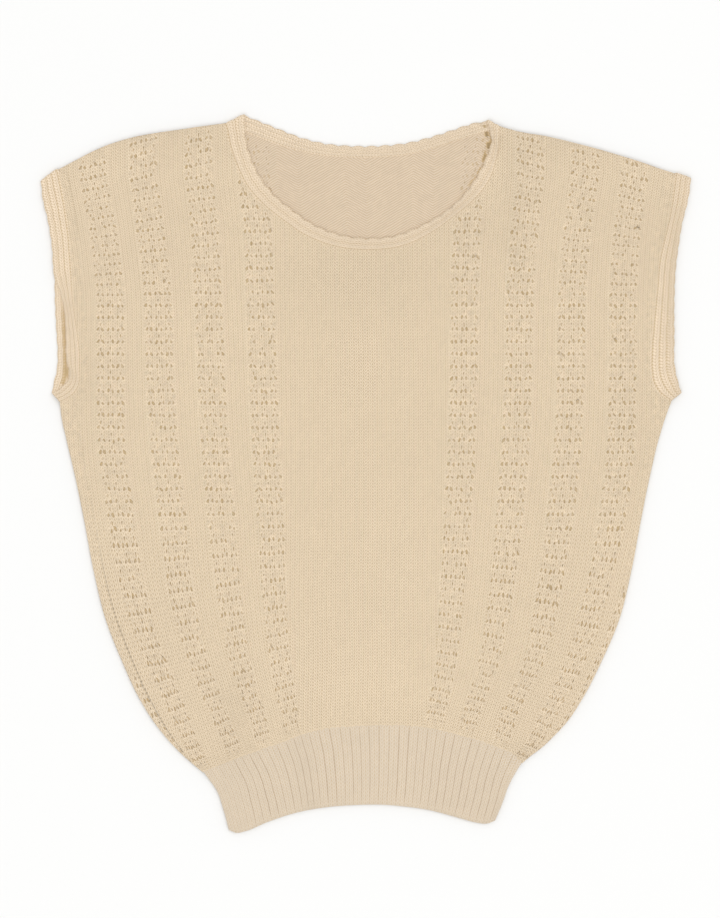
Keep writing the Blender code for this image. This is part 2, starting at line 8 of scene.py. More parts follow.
import math
import bpy
import numpy as np
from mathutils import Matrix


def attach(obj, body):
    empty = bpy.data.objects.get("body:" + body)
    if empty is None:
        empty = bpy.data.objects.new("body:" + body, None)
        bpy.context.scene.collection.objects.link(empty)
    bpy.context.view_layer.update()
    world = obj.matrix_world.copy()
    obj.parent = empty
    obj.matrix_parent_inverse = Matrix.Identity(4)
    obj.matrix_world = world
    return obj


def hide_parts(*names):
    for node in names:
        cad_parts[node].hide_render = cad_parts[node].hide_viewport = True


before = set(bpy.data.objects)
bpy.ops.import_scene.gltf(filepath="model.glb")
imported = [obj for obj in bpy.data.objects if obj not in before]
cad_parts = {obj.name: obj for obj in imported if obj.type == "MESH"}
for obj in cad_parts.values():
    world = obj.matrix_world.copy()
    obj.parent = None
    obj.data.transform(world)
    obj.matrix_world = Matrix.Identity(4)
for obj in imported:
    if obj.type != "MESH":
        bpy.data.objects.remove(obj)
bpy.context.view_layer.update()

MM = 0.001
MIDDLE = (0.585, -0.491, 0.0)
SEED = 11

# Cloth
WALL = 1.8
SEAM_GAP = 0.3
FRONT_BASE = WALL + SEAM_GAP
EDGE_ROUND = 6.0
FLUTE = 0.8
PUFF = 1.3
PUFF_CREST = 52.0
PUFF_IN_BANDS = 0.75
BAND_EDGE_RISE = 0.4
FRONT_LEVEL = 2.0  # where the front's shells and trims begin
BACK_LEVEL, BACK_EDGE_RISE = 0.30, 1.55  # the back's outer face, and how far its rounded edge comes up
INSIDE_GAP, INSIDE_RELIEF = 0.02, 0.25
RELIEF_START, CREASE_START = 8, 10  # height over the welt at which relief and creases are full
CREASE_SWAY, CREASE_ENDS = 0.35, 0.4
ARMHOLE_FADE, NECK_FADE = 4, 2
ARMHOLE_HEIGHTS = (60, 240)
STRIP_FULLNESS = 1.5
BAND_WIDTHS = ((-241, 9.5), (-225, 12), (-195, 15.5), (-35, 24))  # height, width of a band

# Knit
WALE = 3.64
COURSE = 2.45
MOTIF_COURSES = 4
MOTIFS_ACROSS = 3
BAND_WALES = 7
STRIP_WALES = (5, 5, 5, 36, 5, 5, 5)
SIDE_WALES = 4
MOTIF_ROWS = 55
ROWS_BELOW = -4.0  # courses by which the grid starts below the welt seam
LOWEST_SEAM = -201.0  # height of the welt seam in its middle
BOW_COURSES = 75  # how many courses up the welt's bow still shows
SIDE_SLOPE = 0.43  # fall of the courses beyond the ends of the welt seam
DROOP_START, DROOP_END = 120.0, 270.0  # heights over which the courses come to fall with the shoulders
SHOULDER_SLOPE = 0.24
SHOULDER_INNER = 110.0
PLACING_ROUNDS = 12

# Columns: 0 and 1 are the edges of the first band, 2 and 3 of the second, and -1 and 16 are the panel's sides
BANDS = 8
LAST_COLUMN = 16
MIDDLE_COLUMN = 7.5
STRIP_CELLS, MIDDLE_CELLS = 6, 30
LEFT_OUTER, LEFT_MOTIF, LEFT_INNER = (-1, -0.985), (-0.95, -0.50), (-0.50, -0.34, -0.17)
RIGHT_INNER, RIGHT_MOTIF, RIGHT_OUTER = (15, 15.17, 15.34), (15.50, 15.95), (15.95, 15.985, 16)
LEFT_EYELETS_TOP, RIGHT_EYELETS_TOP = -168, -98

# Eyelets: one motif's places across and up that the grid's lines pass through, and the eyelets between them
MOTIF_U = (0.0, 0.12, 0.275, 0.43, 0.5, 0.57, 0.725, 0.88)
MOTIF_V = (0.0, 0.10, 0.30, 0.50, 0.56, 0.74, 0.92)
EYELETS = ((1, 1), (5, 1), (3, 4))  # first column and first row of each
EYELET_ROOM = 1.6  # least distance to the outline
EYELET_SIZES = (0.52, 0.94, 1.16)  # least, usual and greatest, as a share of its cells
EYELET_TILT, EYELET_SHIFT = 0.26, 0.192  # spread of its lean, and of its place
EYELET_RING = ((0, 0), (1, 0), (2, 0), (2, 1), (2, 2), (1, 2), (0, 2), (0, 1))
EYELET_CORNER = 0.74  # how far out the corners of an eyelet lie, as a share of a rectangle's
EYELET_DEPTH = 0.40
EYELET_TAPER = 0.80
EYELET_SHADE = (0.45, 0.90)  # least and greatest painted shade in an eyelet
EYELET_RIM_HIGHLIGHT = 0.35  # how much painted highlight the yarn round an eyelet takes, as a share of its darkness
RIM_HIGHLIGHT = 0.15  # strength of that painted highlight in the tone
RIM_RISE = 0.22  # how far the yarn round an eyelet stands up, as a share of the eyelet's depth
EYELETS_CLOSED = 0.07  # share of the eyelets that are drawn shut
EYELET_LEAN = 0.38  # how far the lower two eyelets of a motif lean together
BACK_SHIFT = 4.0  # the back's bands lie this far to the right of the front's
SHIFT_START, SHIFT_FULL = -238, -150
BACK_COURSES = -2.0  # and its motifs start this many courses lower
OPENWORK_THIN = 0.5  # how much thinner the openwork is than the stockinette
BAND_RECESS = 0.3  # step down from a rung to the cloth round the eyelets
MOTIF_EDGE, POST_RISE = 0.08, 0.12


def pairs(*numbers):
    return tuple(zip(numbers[::2], numbers[1::2]))


# Plan: a band's row has a height and its eight middles, the other lines have points
BAND_LINES = (
    (239, -217.5, -177, -133, -91, 84, 132, 176, 215.5),
    (195, -209.5, -171.5, -128, -86, 81.5, 127.5, 169.5, 209.5),
    (147, -204, -166, -125.5, -84, 79.5, 124, 165.5, 206.5),
    (83, -203.5, -164, -123, -81.5, 79, 122.5, 164.5, 206),
    (19, -202, -160, -119.5, -79, 77, 120, 161.5, 204),
    (-37, -194.5, -153.5, -114.5, -75.5, 73.5, 115, 155.5, 197),
    (-101, -183, -146, -108, -72.5, 69, 108, 145.5, 183.5),
    (-149, -167, -133, -100, -67.5, 65, 99, 135, 168),
    (-191, -149, -117, -87, -61, 57, 85, 115, 147),
    (-221, -136, -104.5, -79, -54.5, 51, 76, 105.5, 129.5),
    (-232, -130.5, -100, -75.5, -52, 48.5, 71.5, 98, 117.5),
    (-241, -121.5, -95, -73, -50, 46.5, 69, 93, 108),
)
LEFT_SIDE = pairs(
    -129.6, -238.4, -141, -229, -151, -219.5, -160, -209.5, -167.5, -200, -179.5, -181, -194.5, -149,
    -207, -117, -217, -77, -224.5, -37, -231, -5, -238.5, 27, -242.5, 45, -244, 57.5,
)
RIGHT_SIDE = pairs(
    125.6, -231.2, 133, -225, 141, -219, 151, -209.5, 160, -200, 173, -181, 189.5, -149, 203, -117,
    213, -77, 220.5, -37, 227, -5, 234.5, 27, 240, 45, 245, 58.5,
)
LEFT_ARMHOLE_FRONT = pairs(
    -244, 57.5, -236, 61.5, -229.5, 69, -228, 81.5, -228.3, 102.5, -230.5, 118, -233.5, 139, -235, 163,
    -237.5, 193, -241, 218, -246, 243,
)
LEFT_ARMHOLE_BACK = pairs(
    -244, 57.5, -238, 61.5, -234, 69, -233, 81.5, -233, 102.5, -233.5, 118, -234.5, 139, -235.5, 163,
) + LEFT_ARMHOLE_FRONT[-3:]
RIGHT_ARMHOLE = pairs(
    245, 58.5, 237, 64, 231.5, 71.5, 229.5, 82, 229.5, 102.5, 231.5, 125, 233.5, 147, 236, 173, 240, 190,
    244.5, 211, 248.5, 240,
)
LEFT_TRIM_FRONT = pairs(
    -250.5, 65, -246, 67.5, -241, 71.5, -237, 77, -236.5, 82, -238.5, 89, -239.5, 112, -240.6, 130.5,
    -243.6, 143.5, -248.3, 157, -250.5, 182, -254, 204, -258, 221, -259, 232.5,
)
LEFT_TRIM_BACK = pairs(
    -250.5, 65, -249, 73, -246.5, 84, -246, 99, -247, 115, -248, 135, -248.6, 157,
) + LEFT_TRIM_FRONT[-4:]
RIGHT_TRIM = pairs(
    253, 65, 249.8, 76, 247.5, 89, 247.5, 107, 247.5, 139, 248.5, 163, 251, 183, 254, 201.5, 257.5, 215,
    260, 229, 260.5, 235,
)
LEFT_SHOULDER = pairs(
    -246, 243, -237.5, 247.5, -229, 252, -216, 258.5, -200, 265, -188, 268.5, -164, 273, -140, 276.5,
    -111, 280.5,
)
RIGHT_SHOULDER = pairs(
    107.5, 278, 126.5, 273, 145, 270, 172, 263.5, 201, 255.5, 218.5, 250, 237.5, 243.5, 248.5, 240,
)
FRONT_NECKLINE = pairs(
    -111, 280.5, -106.5, 259, -101.5, 245, -92, 227.5, -80, 214.5, -65, 202.5, -47, 190.5, -22.5, 181.5,
    4, 179, 29.5, 182, 55, 194, 72, 206.5, 88, 220, 99.5, 235, 104.5, 249.5, 107, 266, 107.5, 278,
)
BACK_NECKLINE = pairs(
    -111, 280.5, -104, 277.5, -93, 273, -80, 268, -60, 261, -35, 255.5, -8, 253.5, 16, 254, 38, 256.5,
    58, 262, 78, 268.5, 92, 272.5, 107.5, 278,
)
FRONT_NECK_EDGE = pairs(
    -95.5, 286.6, -94, 264, -90, 251, -82, 235.5, -72, 223, -58.5, 212, -43, 201, -21, 192, 4, 189, 24, 191,
    46.5, 200, 65.5, 211.5, 79, 224, 90, 240, 96.5, 253, 100.5, 266, 97, 282.2,
)
BACK_NECK_EDGE = pairs(
    -95.5, 286.6, -88, 283.6, -77.5, 279.5, -65, 274.5, -52, 269.5, -32, 264.5, -8, 262.5, 16, 263,
    36, 265.5, 53.5, 270, 72, 276, 86, 280.5, 97, 282.2,
)
# Painted shadow in the gaps beside the front's trims, at the right neck point and the left underarm: place
# and half width
NECK_GAP = (
    (95.4, 278.6, 0.9), (96.6, 274, 1.4), (98, 269.2, 2), (98.7, 264, 2.2), (97.9, 259.4, 1.8),
    (95.9, 255.4, 1.3), (94.2, 250, 1.1), (93.6, 246, 1.1), (91, 241.5, 1.1), (86, 235, 1),
    (80.5, 227.5, 0.9), (74.5, 221, 0.8),
)
ARMHOLE_GAP = (
    (-243.4, 141, 1), (-242, 133, 1.2), (-241.3, 120, 1.3), (-240.8, 107, 1.4), (-240.4, 91, 1.8),
    (-238.9, 80.5, 2.4), (-241, 74, 1.8), (-244.5, 70.6, 1),
)
GAP_SHADOWS = ((NECK_GAP, 214, 260, 1.6), (ARMHOLE_GAP, 154, 112, 1.1))  # where they start and are full, darkness of the painted shadow
GAP_CORE, GAP_FADE, GAP_SAMPLES = 0.5, 1.3, 60
NECK_ROOM_LOW, NECK_ROOM_HALF = 150, 125
WELT_SEAM = pairs(
    -129.6, -238.4, -114.4, -232, -98.4, -225.6, -78.4, -218.8, -61, -212.5, -43, -206, -20, -202.5,
    4, -201, 28, -201, 50.4, -202.8, 78.4, -209.6, 104, -217.6, 116, -222.5, 125.6, -231.2,
)
HEM = pairs(
    -108.8, -284.5, -103, -286.8, -96, -285.6, -78.4, -278.4, -54.4, -270.6, -31.2, -266.4, -8, -264.6,
    16, -264.4, 28, -265.4, 52, -268.8, 76, -275.2, 88, -278.4, 97.5, -279.4, 104, -277,
)
LEVEL_SEAM = WELT_SEAM[1:-2]
WELT_LEFT = pairs(-129.6, -238.4, -125.5, -244, -119, -253, -113.4, -268, -108.8, -284.5)
WELT_RIGHT = pairs(125.6, -231.2, 120.5, -239.5, 115.2, -249, 110, -263, 104, -277)
RIB_FAN = (
    (-19, -129.6, -108.8), (-15, -105.1, -86.6), (-12, -86.6, -68), (-9, -63.7, -49.6), (-6, -45.1, -35.2),
    (-3, -20.2, -15.6), (0, 3, 3.4), (4, 35.6, 30.9), (8, 65.1, 55.2), (12, 92.5, 76.8), (16, 118.6, 99),
    (17, 125.6, 104),
)

TRIM_BLEND = 12.0  # how far from a trim the flutes are at their full height

# Creases: the two ends, half width and height of each, negative for a trough
FRONT_CREASES = (
    (-117, -172, -99, -214, 5, -0.45), (-110, -175, -92, -212, 5, 0.35), (112, -222, 141, -186, 7, 0.5),
    (100, -214, 112, -180, 4.5, -0.4), (-142, -214, -128, -186, 6, 0.35), (-62, -207, -66, -165, 5, -0.14),
    (52, -204, 57, -168, 4.5, -0.3), (-30, -198, -28, -172, 4, -0.18), (18, -197, 15, -176, 4, -0.16),
    (-79, 117, 76, 122, 6, 0.16), (108, 269, 190, 256, 7, 0.95), (-200, 257, -113, 272, 7, 0.8),
    (-232, 60, -196, 22, 8, -0.35), (232, 62, 190, 18, 9, -0.3), (-214, 150, -222, 232, 9, 0.3),
    (196, 205, 214, 132, 9, -0.25), (112, 244, 118, 178, 6, 0.4),
)
BACK_CREASES = (
    (-118, -214, -134, -160, 6, -0.5), (-70, -205, -78, -150, 6, -0.4), (22, -196, 26, -150, 6, -0.35),
    (92, -210, 112, -156, 6, -0.5), (-232, 60, -150, -12, 11, -0.6), (230, 58, 142, 4, 11, -0.5),
    (-60, 224, 66, 219, 9, -0.35), (-200, 258, -120, 262, 8, -0.4),
)

# Ribs
RIB_RISE = 0.8
RIB_COLUMNS = (0.0, 0.03, 0.08, 0.16, 0.28, 0.42, 0.5, 0.58, 0.72, 0.84, 0.92, 0.97)  # places across a rib
RIB_GROOVE = 0.17  # half width of a groove, in ribs
RIB_MIDDLE = 0.10  # depth of the faint line down the middle of a rib
FAINT_RIBS = (-15.5, 0.35)  # left of this rib the grooves have only this share of their depth
WELT_ROWS = 34
WELT_OVERLAP = 1.2  # how far the welt runs up under the panel
WELT_LENGTH = 58.0
SEAM_STEPS, HEM_STEPS = (0, 0.006, 0.02), (0.975, 0.99, 1)  # rows of the mesh near the seam and the hem
GROOVE_SHARES, GROOVE_STARTS = (0.6, 1.1), (0.03, 0.09)  # how deep a groove is, and how soon it is so
GROOVE_LOSS, LOSS_START, LOSS_FULL = 0.7, 0.85, 0.97  # how the grooves run out above the hem
HEM_ROUND, SIDE_ROUND, SEAM_BLEND = 0.05, 0.8, 0.15
RIB_SWELL, WELT_SINK = 0.2, 0.04
BACK_WELT_TOP, BACK_WELT_WALL = 1.9, 1.6

# Trims
SCALLOP = 10.4
SCALLOP_DEPTH, ARM_SCALLOP_DEPTH = 1.32, 0.60
TRIM_STEP = 1.2  # length from one section to the next
NECK_GROOVES, ARM_GROOVES = (-0.02, 0.45), (-0.02, 0.34, 0.69)  # places across a trim
GROOVE_SHADE = 0.36  # how dark the grooves are painted, as a share of an eyelet
GROOVE_REACH = 0.07
TRIM_WALES = 3.2
FOLD_STEPS = 12
RIDGE_POINT = 4  # the section's point on the crest beside the seam
NECK_CORNER_GAP = 0.36
NECK_CORNER_DROP = 2.2  # how far below the shoulder's line the neck trim turns over
TIP_DROP = 1.2  # and an armhole trim

# Colours of the cotton, linear: the yarn's face, and a painted shade for what lies deep between the yarns
CREAM = (0.784, 0.647, 0.478, 1.0)
CREAM_SHADED = (0.55, 0.395, 0.21, 1.0)
# Copies of the cream: darker for the ribs and the knit's inside as painted shade, lighter for the trims as
# painted light
CREAM_RIB_SHADED = (0.676, 0.580, 0.466, 1.0)
CREAM_INSIDE_SHADED = (0.676, 0.555, 0.428, 1.0)
CREAM_TRIM_LIT = (0.836, 0.690, 0.526, 1.0)
FLOOR = (0.836, 0.836, 0.828, 1.0)
STITCH_TONE = 0.05  # how much the tone differs from stitch to stitch
OPENWORK_MOTTLE, MOTTLE_SCALE = 0.30, 230.0  # soft spots of the openwork: strength, and spots to a metre
STRAND_SHARE, LEG_SHARE, WALE_SHARE = 0.54, 0.36, 0.10  # what makes up a stitch's height
STITCH_SLANT = 2.0  # rise of a stitch's legs from the middle of its wale, in courses to a wale
PURL_COURSES = 1.2  # rows of half rings to a course on the knit's inside
PURL_WALES, PURL_TURN, PURL_SLANT = 13.0, 0.7, 15.0  # its rows rise over 0.7 of 13 wales, then fall
PURL_DEPTH, PURL_LIFT = 0.55, 0.285  # how deep the rows are, as a share of a stitch, and what lifts them
WALE_WANDER, COURSE_WANDER = (90, 0.22), (140, 0.5)  # waves to a metre, and how far the stitches stray
FIBRES, FIBRE_HEIGHT = 2600, 0.16
TONE_WAVES, TONE_WAVE, TONE_BASE = (7, 60), 0.05, 0.95
# Darkness of the painted shade that the knit's depth gives, and of the painted gap shadows past a depth of 1
DEPTH_DARK, VERY_DEEP_DARK = 0.72, 0.6
VALLEY, CREST = 0.08, 0.92  # heights of the knit at which the painted shade of the valleys ends and the face's colour is full

# Soft patches of painted light and shade, where the front is a little lighter or darker: middle, half width,
# half height and share
FRONT_PAINTED_SHADING = (
    (4, 165, 80, 42, -0.05), (150, 266, 60, 18, -0.045), (-150, 270, 60, 18, -0.04),
    (119, 212, 12, 58, -0.06), (-104, -190, 16, 36, -0.05), (-170, -120, 45, 60, -0.025),
    (170, -90, 50, 90, -0.025), (0, -165, 62, 34, 0.03), (215, 30, 22, 60, -0.035),
    (-205, 205, 40, 60, 0.015), (-222, 70, 25, 35, -0.03), (86, 195, 22, 30, -0.04),
    (102, 262, 7, 24, 0.05), (250, 150, 13, 90, -0.11),
)
# Soft patches where the back is a little lighter or darker
BACK_TONES = (
    (-60, 120, 90, 70, -0.03), (110, -60, 70, 90, -0.03), (-150, -140, 60, 60, 0.02),
    (160, 180, 50, 60, 0.02),
)

COTTON = {
    "Roughness": 0.92, "Sheen Weight": 0.25, "Sheen Roughness": 0.55, "Sheen Tint": (1, 0.93, 0.80, 1),
    "Specular IOR Level": 0.25,
}

# Light and camera
WORLD_STRENGTH = 0.837
LIGHTS = (("key_upper_right", (2.7, 2.2, 8), 186), ("fill_below", (-2.2, -4.2, 7.2), 138))  # place and watts
LIGHT_SIZE = 5.0
FLOOR_REACH, FLOOR_DROP, FLOOR_ROUGHNESS = 3.0, 0.0002, 0.9
CAMERA_HEIGHT = 2.5
CAMERA_AIM = (-0.0046, 0.0125)
VISIBLE_HEIGHT = 0.7344
SENSOR = 36.0

rng = np.random.default_rng(SEED)
pieces = {}


def eased(x, low, high):
    """0 at the low place and 1 at the high one, with soft ends."""
    t = np.clip((x - low) / (high - low), 0, 1)
    return t * t * (3 - 2 * t)


def passed(x, place, fade):
    return eased(x, place - fade, place + fade)


def curve_value(x, table):
    """A smooth curve through a table of (place, value) rows, read at x, level past its ends."""
    places, values = np.array(sorted(table), float).T
    slopes = np.gradient(values, places)
    x = np.clip(x, places[0], places[-1])
    k = np.clip(np.searchsorted(places, x) - 1, 0, len(places) - 2)
    step = places[k + 1] - places[k]
    t = (x - places[k]) / step
    rise = values[k] * (1 + 2 * t) * (1 - t) ** 2 + values[k + 1] * t * t * (3 - 2 * t)
    lean = slopes[k] * t * (1 - t) ** 2 - slopes[k + 1] * t * t * (1 - t)
    return rise + lean * step


def flipped(table):
    return [(height, across) for across, height in table]


def lengths_along(points):
    steps = np.linalg.norm(np.diff(points, axis=0), axis=1)
    return np.concatenate([[0.0], np.cumsum(steps)])


def points_along(points, shares):
    along = lengths_along(points)
    places = np.asarray(shares) * along[-1]
    return np.column_stack([np.interp(places, along, points[:, axis]) for axis in range(points.shape[1])])


def smooth_line(table, samples=400):
    points = np.array(table, float)
    along = lengths_along(points)
    places = np.linspace(0, along[-1], samples)
    across = curve_value(places, list(zip(along, points[:, 0])))
    height = curve_value(places, list(zip(along, points[:, 1])))
    return np.column_stack([across, height])


def moved_out(points, distance):
    """The line moved to its left by this distance."""
    steps = np.diff(points, axis=0)
    normals = np.column_stack([-steps[:, 1], steps[:, 0]]) / np.linalg.norm(steps, axis=1)[:, None]
    corners = np.vstack([normals[:1], normals[:-1] + normals[1:], normals[-1:]])
    corners /= np.linalg.norm(corners, axis=1)[:, None]
    return points + corners * distance


def band_width(height):
    return np.interp(height, *zip(*BAND_WIDTHS))


class Plan:
    """Outline of one panel, and where its wales and courses run."""

    def __init__(self, left_armhole, neckline, shift):
        self.sides = ((LEFT_SIDE, left_armhole), (RIGHT_SIDE, RIGHT_ARMHOLE))
        self.neckline = neckline
        self.shift = shift

    def side(self, which, height):
        body, armhole = self.sides[which]
        low, high = curve_value(height, flipped(body)), curve_value(height, flipped(armhole))
        return np.where(height <= body[-1][1], low, high)

    def edges(self, height):
        """Places across of the left side, the bands' edges and the right side, at each height."""
        half = band_width(height) / 2
        lines = [self.side(0, height)]
        for band in range(1, BANDS + 1):
            centre = curve_value(height, [(row[0], row[band]) for row in BAND_LINES])
            centre = centre + self.shift * eased(height, SHIFT_START, SHIFT_FULL)
            lines += [centre - half, centre + half]
        lines.append(self.side(1, height))
        return np.array(lines)

    def across(self, column, height):
        lines = self.edges(height)
        whole = np.clip(np.floor(column).astype(int) + 1, 0, LAST_COLUMN)
        part = column + 1 - whole
        take = np.arange(len(height))
        return lines[whole, take] * (1 - part) + lines[whole + 1, take] * part

    def top(self, across):
        left, right = curve_value(across, LEFT_SHOULDER), curve_value(across, RIGHT_SHOULDER)
        middle = curve_value(across, self.neckline)
        value = np.where(across <= self.neckline[0][0], left, middle)
        return np.where(across >= self.neckline[-1][0], right, value)


def seam_height(across):
    """Height of the welt seam, carried on past its ends along the fall of the courses."""
    inside = np.clip(across, LEVEL_SEAM[0][0], LEVEL_SEAM[-1][0])
    return curve_value(inside, LEVEL_SEAM) - SIDE_SLOPE * np.abs(across - inside)


def course_height(course, across):
    bow = LOWEST_SEAM - seam_height(across)
    level = LOWEST_SEAM + COURSE * course
    bow = bow * (1 - eased(course, 0, BOW_COURSES))
    droop = SHOULDER_SLOPE * np.maximum(np.abs(across) - SHOULDER_INNER, 0)
    return level - bow - droop * eased(level, DROOP_START, DROOP_END)


def place_stitches(plan, columns, courses):
    """Across and height of stitches given by their column and course, found by going back and forth."""
    height = LOWEST_SEAM + COURSE * courses
    for _ in range(PLACING_ROUNDS):
        across = plan.across(columns, height)
        height = course_height(courses, across)
    return plan.across(columns, height), height


def wale_number(columns):
    """The count of wales at each column, from the panel's left side."""
    counts = [0, SIDE_WALES]
    for strip in STRIP_WALES:
        counts += [BAND_WALES, strip]
    counts += [BAND_WALES, SIDE_WALES]
    return np.interp(columns, range(-1, LAST_COLUMN + 1), np.cumsum(counts))


def wales_at(plan, columns, x, y, bands):
    """Wales counted across, all of one width, from the middle of each band or strip."""
    start, last = 0.0 if bands else 1.0, LAST_COLUMN - 1
    whole = np.clip(2 * np.floor((columns + 0.5 - start) / 2) + start, -1, last).astype(int)
    lines, take = plan.edges(y), np.arange(len(x))
    low, high = lines[whole + 1, take], lines[whole + 2, take]
    anchor = np.where(whole < 0, high, np.where(whole == last, low, (low + high) / 2))
    column = np.where(whole < 0, 0.0, np.where(whole == last, last, whole + 0.5))
    return wale_number(column) + (x - anchor) / WALE


def band_places(columns):
    """Whether each place is in a band, and its share of the way across that band or strip."""
    whole = np.floor(columns)
    return (whole % 2 == 0) & (whole >= 0) & (whole < LAST_COLUMN), columns - whole


def plain_share(columns):
    in_band, part = band_places(columns)
    band = BAND_EDGE_RISE * np.abs(2 * part - 1)
    strip = BAND_EDGE_RISE + (1 - BAND_EDGE_RISE) * np.minimum(1.0, STRIP_FULLNESS * np.sin(np.pi * part))
    return np.where(in_band, band, strip)


def rounding(distance, reach=EDGE_ROUND):
    share = np.clip(distance / reach, 0, 1)
    return np.sqrt(share * (2 - share))


def column_lines():
    """Columns of a panel's grid, and each motif's first one and the height up to which it has eyelets."""
    columns, motifs = [], []

    def add_motifs(low, high, count, eyelets_top):
        for motif in range(count):
            motifs.append((len(columns), eyelets_top))
            step = (high - low) / count
            columns.extend(low + step * (motif + u) for u in MOTIF_U)

    columns += LEFT_OUTER
    add_motifs(*LEFT_MOTIF, 1, LEFT_EYELETS_TOP)
    columns += LEFT_INNER
    for band in range(BANDS):
        low = 2 * band
        add_motifs(low, low + 1, MOTIFS_ACROSS, math.inf)
        if band < BANDS - 1:
            cells = MIDDLE_CELLS if low + 1 < MIDDLE_COLUMN < low + 2 else STRIP_CELLS
            columns.extend(low + 1 + step / cells for step in range(cells))
    columns += RIGHT_INNER
    add_motifs(*RIGHT_MOTIF, 1, RIGHT_EYELETS_TOP)
    columns += RIGHT_OUTER
    return np.array(columns, float), motifs


class Shell:
    """A sheet of cells on the panel's plan, without those of the eyelets."""

    def __init__(self, plan, lift, first_course, also_room=None):
        self.plan = plan
        self.also_room = also_room
        self.columns, self.motifs = column_lines()
        self.rows = np.concatenate([(m + np.array(MOTIF_V)) * MOTIF_COURSES for m in range(MOTIF_ROWS)])
        self.rows = self.rows + first_course + ROWS_BELOW
        self.lift = lift
        self.c, self.r = np.meshgrid(self.columns, self.rows, indexing="ij")
        self.keep = np.ones((len(self.columns) - 1, len(self.rows) - 1), bool)
        self.holes = []
        self.settle()
        self.cut_eyelets()
        self.settle()

    def cut_eyelets(self):
        for start, eyelets_top in self.motifs:
            for motif_row in range(MOTIF_ROWS - 1):
                base = motif_row * len(MOTIF_V)
                if self.y[start, base] > eyelets_top:
                    continue
                for first_column, first_row in EYELETS:
                    i, j = start + first_column, base + first_row
                    if self.room[i:i + 3, j:j + 3].min() < EYELET_ROOM or rng.random() < EYELETS_CLOSED:
                        continue
                    self.shape_eyelet(i, j, EYELET_LEAN * np.sign(3 - first_column))

    def shape_eyelet(self, i, j, lean):
        size = rng.triangular(*EYELET_SIZES)
        tilt = rng.normal(lean, EYELET_TILT)
        shift = rng.normal(0, EYELET_SHIFT, 2)
        middle_c, middle_r = self.c[i + 1, j + 1], self.r[i + 1, j + 1]
        half_c = (self.c[i + 2, j] - self.c[i, j]) / 2
        half_r = (self.r[i, j + 2] - self.r[i, j]) / 2
        for a, b in EYELET_RING:
            out = EYELET_CORNER if (a != 1 and b != 1) else 1.0
            across, up = (a - 1) * out * size, (b - 1) * out * size
            self.c[i + a, j + b] = middle_c + half_c * (across + tilt * up + shift[0])
            self.r[i + a, j + b] = middle_r + half_r * (up + shift[1])
        self.keep[i:i + 2, j:j + 2] = False
        self.holes.append((i, j, rng.uniform(*EYELET_SHADE)))

    def settle(self):
        x, y = place_stitches(self.plan, self.c.ravel(), self.r.ravel())
        self.x, self.y = x.reshape(self.c.shape), y.reshape(self.c.shape)
        self.room = np.minimum(self.y - seam_edge(self.x), self.plan.top(self.x) - self.y)
        if self.also_room:
            self.room = np.minimum(self.room, self.also_room(self.x, self.y))


def seam_edge(across):
    return curve_value(across, WELT_SEAM)


def border_distance(plan, x, y):
    """Distance to the sides below the armholes and to the shoulders. Elsewhere a trim takes the border up."""
    left, right = x - plan.side(0, y), plan.side(1, y) - x
    left = left + EDGE_ROUND * passed(y, LEFT_SIDE[-1][1], ARMHOLE_FADE)
    right = right + EDGE_ROUND * passed(y, RIGHT_SIDE[-1][1], ARMHOLE_FADE)
    start, end = plan.neckline[0][0], plan.neckline[-1][0]
    at_neck = passed(x, start, NECK_FADE) * (1 - passed(x, end, NECK_FADE))
    top = plan.top(x) - y + EDGE_ROUND * at_neck
    return np.maximum(np.minimum(np.minimum(left, right), top), 0)


def panel_line(plan, which, heights):
    return np.column_stack([plan.side(which, heights), heights])


def trim_distance(plan, x, y):
    """Distance to the neckline and the armholes, where a trim carries on from the panel at its own height."""
    heights = np.linspace(*ARMHOLE_HEIGHTS, 90)
    lines = [smooth_line(plan.neckline)[::3], panel_line(plan, 0, heights), panel_line(plan, 1, heights)]
    nearest = np.full(len(x), math.inf)
    for px, py in np.vstack(lines):
        nearest = np.minimum(nearest, (x - px) ** 2 + (y - py) ** 2)
    return np.sqrt(nearest)


def motif_relief(columns, courses):
    """Rungs and the cloth round the eyelets stand a little proud of the rest of a band."""
    in_band, part = band_places(columns)
    inside = np.where(in_band, eased(np.minimum(part, 1 - part), 0, MOTIF_EDGE), 0)
    rung = 0.5 + 0.5 * np.cos(2 * np.pi * courses / MOTIF_COURSES)
    post = 0.5 + 0.5 * np.cos(2 * np.pi * part * MOTIFS_ACROSS)
    return inside * (BAND_RECESS * rung ** 2 + POST_RISE * post - BAND_RECESS)


def front_surface(plan, x, y, columns, courses):
    above_welt = np.maximum(y - seam_edge(x), 0)
    plain = plain_share(columns)
    rise = above_welt / PUFF_CREST
    swell = rise ** 2 * np.exp(2 - 2 * rise)
    flutes = (FLUTE * plain - OPENWORK_THIN * (1 - plain)) * eased(rise, 0, 1)
    flutes = flutes * band_width(y) / BAND_WIDTHS[-1][1]
    flutes = flutes * eased(trim_distance(plan, x, y), 0, TRIM_BLEND)
    puff = PUFF * (PUFF_IN_BANDS + (1 - PUFF_IN_BANDS) * plain) * swell
    relief = motif_relief(columns, courses) * eased(above_welt, 0, RELIEF_START)
    full = rounding(border_distance(plan, x, y))
    folds = creases(FRONT_CREASES, x, y) * eased(above_welt, 0, CREASE_START)
    return FRONT_LEVEL + (WALL + flutes + puff + relief + folds) * full


def creases(table, x, y):
    """Height of the creases of a table, each fading out towards its two ends."""
    height = np.zeros_like(x)
    for x0, y0, x1, y1, half_width, rise in table:
        length = math.hypot(x1 - x0, y1 - y0)
        along = ((x - x0) * (x1 - x0) + (y - y0) * (y1 - y0)) / length
        aside = ((x - x0) * (y1 - y0) - (y - y0) * (x1 - x0)) / length
        sway = CREASE_SWAY * half_width * np.sin(2 * np.pi * along / length)
        fade = CREASE_ENDS * length
        ends = eased(along, 0, fade) * eased(length - along, 0, fade)
        height += rise * ends * np.exp(-((aside + sway) / half_width) ** 2)
    return height


